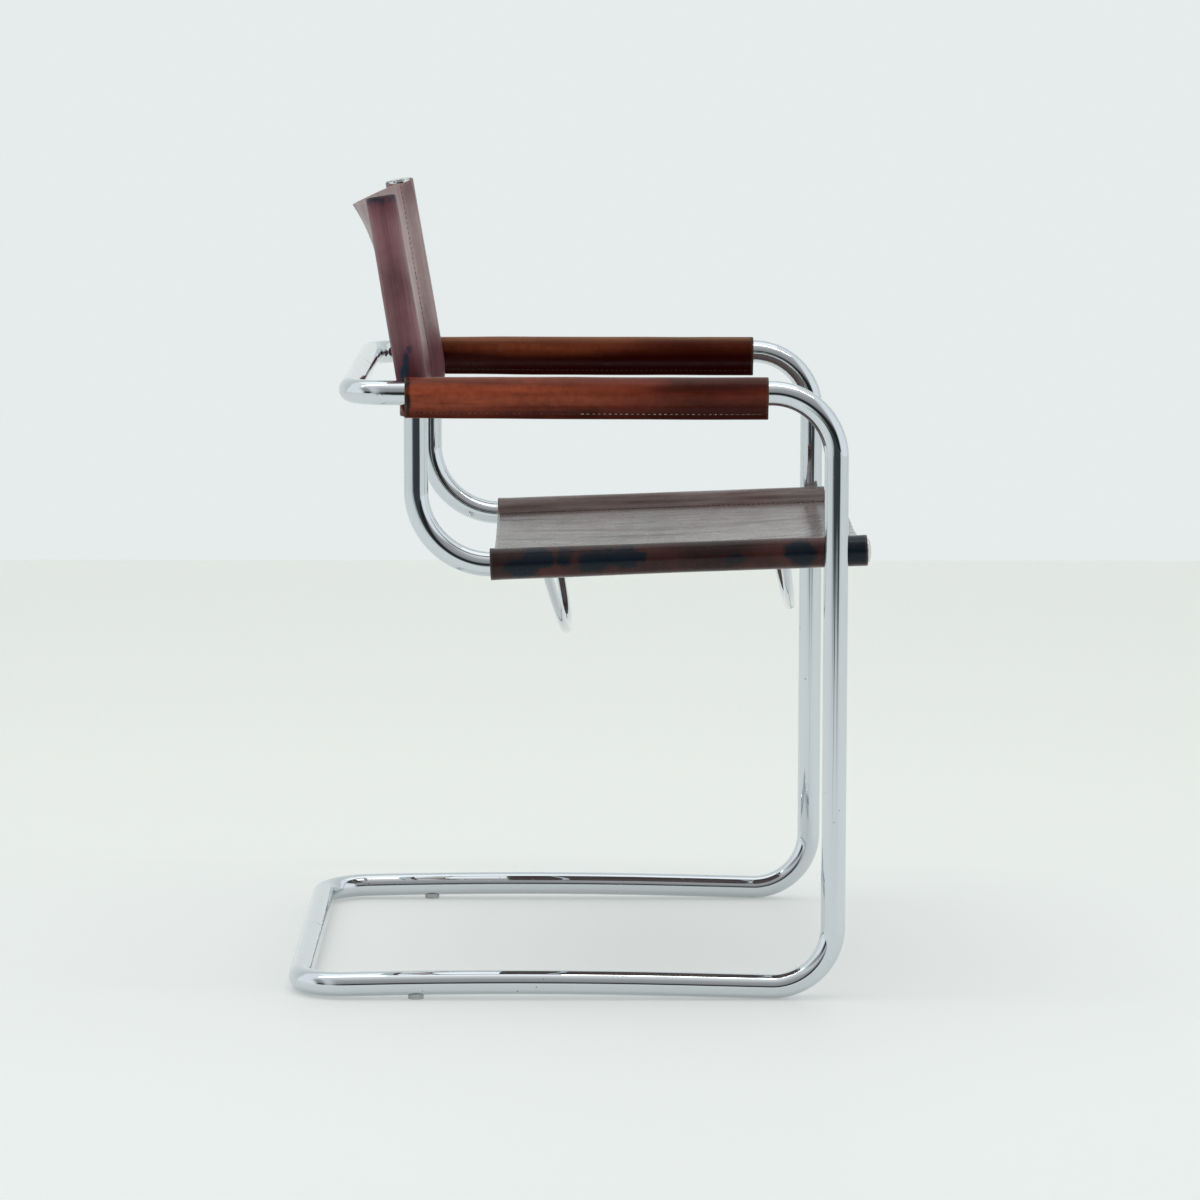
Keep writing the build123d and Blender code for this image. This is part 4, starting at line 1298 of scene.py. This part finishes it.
# ------------ studio
@dataclass
class Studio:
    """Pale floor and wall, soft lamps and the camera."""

    camera_at: Triple = (-4.9471, -0.0049, 1.0422)
    camera_forward: Triple = (0.991062, -0.003764, -0.133352)
    camera_right: Triple = (-0.003625, -0.999993, 0.001285)
    lens: float = 139.94
    sensor: float = 36.0
    clip_end: float = 60.0
    wall_x: float = 3.33
    floor_glow: float = 0.45
    wall_glow: float = 0.32
    floor: Triple = (0.603, 0.62, 0.611)
    far_floor: Triple = (0.592, 0.607, 0.580)
    wall: Triple = (0.84, 0.868, 0.87)
    backdrop: Triple = (0.79, 0.838, 0.838)
    aisle_grey: Triple = (0.20, 0.24, 0.21)
    aisle_black: Triple = (0.008, 0.014, 0.017)
    room: Triple = (0.92, 0.97, 1.0)
    warm_light: Triple = (1.0, 0.98, 0.86)
    strip: Pair = (0.10, 2.2)
    strip_watts: float = 7.0
    dark_rise: tuple[Pair, ...] = (
        (0.0, 0.02), (0.11, 0.02), (0.18, 0.12), (0.28, 0.32), (0.50, 0.38), (0.70, 0.46), (0.85, 0.68),
        (1.0, 1.0),
    )
    dark_width: tuple[Pair, ...] = (
        (0.13, 0.0), (0.20, 1.0), (0.58, 1.0), (0.68, 0.90), (0.77, 0.45), (0.82, 0.45), (0.87, 1.0),
        (0.92, 1.0), (0.96, 0.0),
    )

    def plane(self, name: str, corners: list[Triple], material: Material) -> Object:
        """Flat stage piece of four corners."""
        piece = new_object(name, mesh_from(name, np.array(corners), [(0, 1, 2, 3)], smooth=False))
        piece.data.materials.append(material)
        return piece

    @staticmethod
    def paint(graph: MaterialGraph, tone: Socket, rough: float, glow: float) -> Material:
        """Matt paint with a faint glow that lifts its shadows."""
        return graph.finish({
            "Base Color": tone,
            "Emission Color": tone,
            "Emission Strength": glow,
            "Roughness": rough,
            "Specular IOR Level": 0.2,
        })

    @staticmethod
    def uneven(graph: MaterialGraph, colour: Triple) -> Socket:
        """Paint's colour with a faint unevenness."""
        return graph.blend(graph.noise(graph.place(), 1.3), tuple(c * 0.985 for c in colour), colour)

    def floor_tone(self, graph: MaterialGraph) -> Socket:
        """Pale floor that darkens towards the dark end of the room, where only reflections show it."""
        parts = graph.split(graph.place())
        x = parts["X"]
        pale = graph.blend(graph.ramp(x, -0.3, 1.2), self.uneven(graph, self.floor), self.far_floor)
        slant = graph.maths("DIVIDE", parts["Y"], x)
        streaks = {"W": slant, "Scale": 7.0, "Detail": 3.0}
        lines = graph.out("ShaderNodeTexNoise", streaks, noise_dimensions="1D")
        reach = graph.maths("ADD", x, graph.ramp(lines, 0.38, 0.62, -0.9, 0.9))
        aisle = graph.maths("MULTIPLY", graph.ramp(slant, 0.72, 0.66), graph.ramp(slant, -0.9, -0.35))
        tone = pale
        for start, end, colour in ((-1.7, -3.4, self.aisle_grey), (-3.0, -3.8, self.aisle_black)):
            tone = graph.blend(graph.maths("MULTIPLY", graph.ramp(reach, start, end), aisle), tone, colour)
        return graph.blend(graph.camera_ray(), tone, pale)

    def build_stage(self) -> None:
        """Lays the floor and stands the wall, which only lights the room and shows in reflections."""
        graph = MaterialGraph("pale_floor")
        pale = self.paint(graph, self.floor_tone(graph), 0.55, self.floor_glow)
        graph = MaterialGraph("pale_wall")
        wall = self.paint(graph, self.uneven(graph, self.wall), 0.8, self.wall_glow)
        x, near, wide, high = self.wall_x, -12.0, 9.0, 5.0
        self.plane("floor", [(near, -wide, 0), (x, -wide, 0), (x, wide, 0), (near, wide, 0)], pale)
        back = self.plane("wall", [(x, -wide, 0), (x, -wide, high), (x, wide, high), (x, wide, 0)], wall)
        back.visible_camera = False

    @staticmethod
    def grade(graph: NodeGraph, value: Socket, stops: tuple[Pair, ...]) -> Socket:
        """Colour ramp of greys over a value from 0 to 1."""
        node = graph.add("ShaderNodeValToRGB", {"Fac": value})
        elements = node.color_ramp.elements
        for position, _ in stops[1:-1]:
            elements.new(position)
        for element, (position, grey) in zip(elements, stops):
            element.position, element.color = position, (grey, grey, grey, 1)
        return node.outputs["Color"]

    def build_world(self) -> None:
        """Pale room all round, with the dark end of the room behind the camera."""
        world = bpy.data.worlds.new("room")
        bpy.context.scene.world = world
        world.use_nodes = True
        graph = NodeGraph(world.node_tree)
        parts = graph.split(graph.add("ShaderNodeTexCoord").outputs["Generated"])
        rise = self.grade(graph, parts["Z"], self.dark_rise)
        across = graph.ramp(parts["Y"], -1.0, 1.0, kind="LINEAR")
        behind = graph.ramp(parts["X"], -0.05, -0.3, kind="LINEAR")
        behind = graph.maths("MULTIPLY", behind, self.grade(graph, across, self.dark_width))
        seen = graph.blend(graph.camera_ray(), graph.blend(behind, self.room, rise), self.backdrop)
        light = graph.out("ShaderNodeBackground", {"Color": seen})
        graph.add("ShaderNodeOutputWorld", {"Surface": light})

    def build_lamps(self) -> None:
        """Hangs one large soft lamp and two narrow ones overhead."""
        lamps = {
            "soft_overhead": ((0.3, 0.2, 3.2), (2.6, 3.2), 8.0, (1.0, 0.99, 0.97)),
            "strip_front": ((-0.5, -1.1, 3.0), self.strip, self.strip_watts, self.warm_light),
            "strip_rear": ((-0.3, 1.5, 3.0), self.strip, self.strip_watts, self.warm_light),
        }
        for name, (place, size, watts, colour) in lamps.items():
            lamp = bpy.data.lights.new(name, "AREA")
            lamp.shape = "RECTANGLE"
            lamp.size, lamp.size_y = size
            lamp.energy, lamp.color = watts, colour
            new_object(name, lamp).location = place

    def build_camera(self) -> None:
        """Sets the camera where the photograph was taken."""
        lens = bpy.data.cameras.new("camera")
        lens.lens, lens.sensor_width, lens.clip_end = self.lens, self.sensor, self.clip_end
        lens.dof.use_dof = False
        forward = Vector(self.camera_forward).normalized()
        right = Vector(self.camera_right).normalized()
        up = right.cross(forward)
        turn = Matrix((right, up, -forward)).transposed().to_4x4()
        camera = new_object("camera", lens)
        camera.matrix_world = Matrix.Translation(Vector(self.camera_at)) @ turn
        bpy.context.scene.camera = camera

    def build(self) -> None:
        """Builds the whole studio."""
        self.build_stage()
        self.build_world()
        self.build_lamps()
        self.build_camera()
        bpy.context.scene.view_settings.view_transform = "Standard"


# ------------ the whole chair
@dataclass
class LoungeChair:
    """The chair as a whole."""

    sizes: ChairSizes = field(default_factory=ChairSizes)
    worn_from: float = -3.0 * MM
    seam_inset: float = 24.5 * MM
    arm_fronts: Pair = (-195.0 * MM, -191.5 * MM)

    def dress_hidden_steel(self) -> None:
        """Gives the CAD nodes that stay their finishes."""
        steel, nylon, chrome = ZINC_STEEL.make(), GREY_NYLON.make(), bpy.data.materials["bright_chrome"]
        fixings = ("joint_screws", "joint_washers", "joint_inserts", "glide_screws")
        finishes = dict.fromkeys(("floor_bar_spigot", "back_bar_spigot", *fixings), steel)
        finishes |= {"joint_spacers": chrome, "floor_glides": nylon}
        for node, material in finishes.items():
            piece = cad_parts[node]
            piece.data.materials.clear()
            piece.data.materials.append(material)
            LOG.info("%s: dressed in %s", node, material.name)

    def sew(self, seat: Object, back: Object, arms: list[Object]) -> None:
        """Sews the seams of the seat, the back and the armrest covers."""
        dark = WaxedThread("dark_thread", (0.07, 0.035, 0.022), (0.02, 0.012, 0.01)).make()
        pale = WaxedThread("pale_thread", (0.62, 0.47, 0.34), (0.16, 0.09, 0.06)).make()
        dull = WaxedThread("dull_thread", (0.22, 0.085, 0.055), (0.07, 0.025, 0.015)).make()
        left, right = (self.arm_seams(arm) for arm in arms)
        front = [line[line[:, 1] < self.worn_from] for line in right]
        rear = [line[line[:, 1] >= self.worn_from] for line in right]
        self.sew_row("seat_stitches", self.sling_seams(seat, 2, max), dark, "seat_seam_threads")
        self.sew_row("back_stitches", self.sling_seams(back, 1, min), dark, "back_seam_threads")
        self.sew_row("armrest_stitches_front", front, pale, "armrest_seam_threads")
        self.sew_row("armrest_stitches_rear", rear, dull)
        # The far arm's stitches use the dark thread to match its painted shade.
        self.sew_row("armrest_stitches_left", left, dark)

    def sew_row(self, name: str, seams: list[Array], thread: Material, *nodes: str) -> None:
        """Sews stitches along seam lines, with dark dots between them as painted shade in the needle holes.

        Args:
            name: Name of the stitches.
            seams: Points of each seam line.
            thread: Thread's material.
            nodes: CAD nodes that the stitches stand for.
        """
        hole = bpy.data.materials.get(NEEDLE_HOLE_SHADE.name) or NEEDLE_HOLE_SHADE.make()
        rows = Stitching(StitchShape.THREAD, thread)
        settle(rows.build(name, seams), thread, Slot.THREAD, *nodes)
        holes = Stitching(StitchShape.HOLE, hole, length=1.5 * MM, thickness=1.35 * MM)
        shifted = [self.shift(line, rows.pitch / 2) for line in seams]
        settle(holes.build(f"{name}_holes", shifted), hole, Slot.THREAD)

    @staticmethod
    def shift(line: Array, distance: float) -> Array:
        """The same line, starting a little further along."""
        start = line[0] + unit(line[1] - line[0]) * distance
        gone = np.cumsum(np.linalg.norm(np.diff(line, axis=0), axis=1))
        return np.vstack([start, line[1:][gone > distance]])

    @staticmethod
    def outer_face(piece: Object) -> Array:
        """Points of a hide's outer face as its grid."""
        rows, columns = piece["rows"], piece["columns"]
        spots = np.zeros(len(piece.data.vertices) * 3, np.float32)
        piece.data.vertices.foreach_get("co", spots)
        return spots[: rows * columns * 3].reshape(rows, columns, 3).astype(float)

    def sling_seams(self, piece: Object, axis: int, pick: Callable) -> list[Array]:
        """Seams beside both sleeves, on the face towards the sitter.

        Args:
            piece: Seat or back.
            axis: Axis along which the face towards the sitter is told from the other one.
            pick: max or min, whichever end of that axis is the sitter's.

        Returns:
            Points of the two seam lines.
        """
        grid = self.outer_face(piece)
        x, middle = np.abs(grid[0, :, 0]), grid.shape[1] // 2
        lines = []
        for columns in (range(middle), range(middle + 1, grid.shape[1])):
            near = sorted(columns, key=lambda c: abs(x[c] - self.sizes.rail_x + self.seam_inset))[:4]
            lines.append(grid[2:-2, pick(near, key=lambda c: grid[0, c, axis])])
        return lines

    def arm_seams(self, piece: Object) -> list[Array]:
        """Seams on both faces of an armrest cover's flange."""
        grid = self.outer_face(piece)
        middle, rise = grid.shape[1] // 2, ArmrestCover.seam_rise
        halves = (grid[3:-3, :middle], grid[3:-3, :middle:-1])
        return [np.array([self.at_height(row, row[0, 2] + rise) for row in half]) for half in halves]

    @staticmethod
    def at_height(row: Array, height: float) -> Array:
        """Point of a rising row of points at a height."""
        upper = next(k for k in range(1, len(row)) if row[k, 2] >= height)
        share = (height - row[upper - 1, 2]) / (row[upper, 2] - row[upper - 1, 2])
        return row[upper - 1] * (1 - share) + row[upper] * share

    def build(self) -> None:
        """Builds and dresses every piece that shows."""
        sizes = self.sizes
        SteelFrame(sizes, BrightChrome().make(), ScuffedChrome().make()).build()
        self.dress_hidden_steel()
        seat = SeatSling(sizes, SEAT_HIDE.make()).build()
        back = BackSling(sizes, BACK_HIDE.make()).build()
        arms = [
            ArmrestCover(sizes, ARM_HIDES[side].make(), side, front_y=front_y).build()
            for side, front_y in zip(Side, self.arm_fronts)
        ]
        self.sew(seat, back, arms)


def main() -> None:
    """Builds the chair in its studio."""
    logging.basicConfig(level=logging.INFO, format="%(name)s: %(message)s")
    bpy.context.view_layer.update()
    LoungeChair().build()
    Studio().build()


if __name__ == "__main__":
    main()
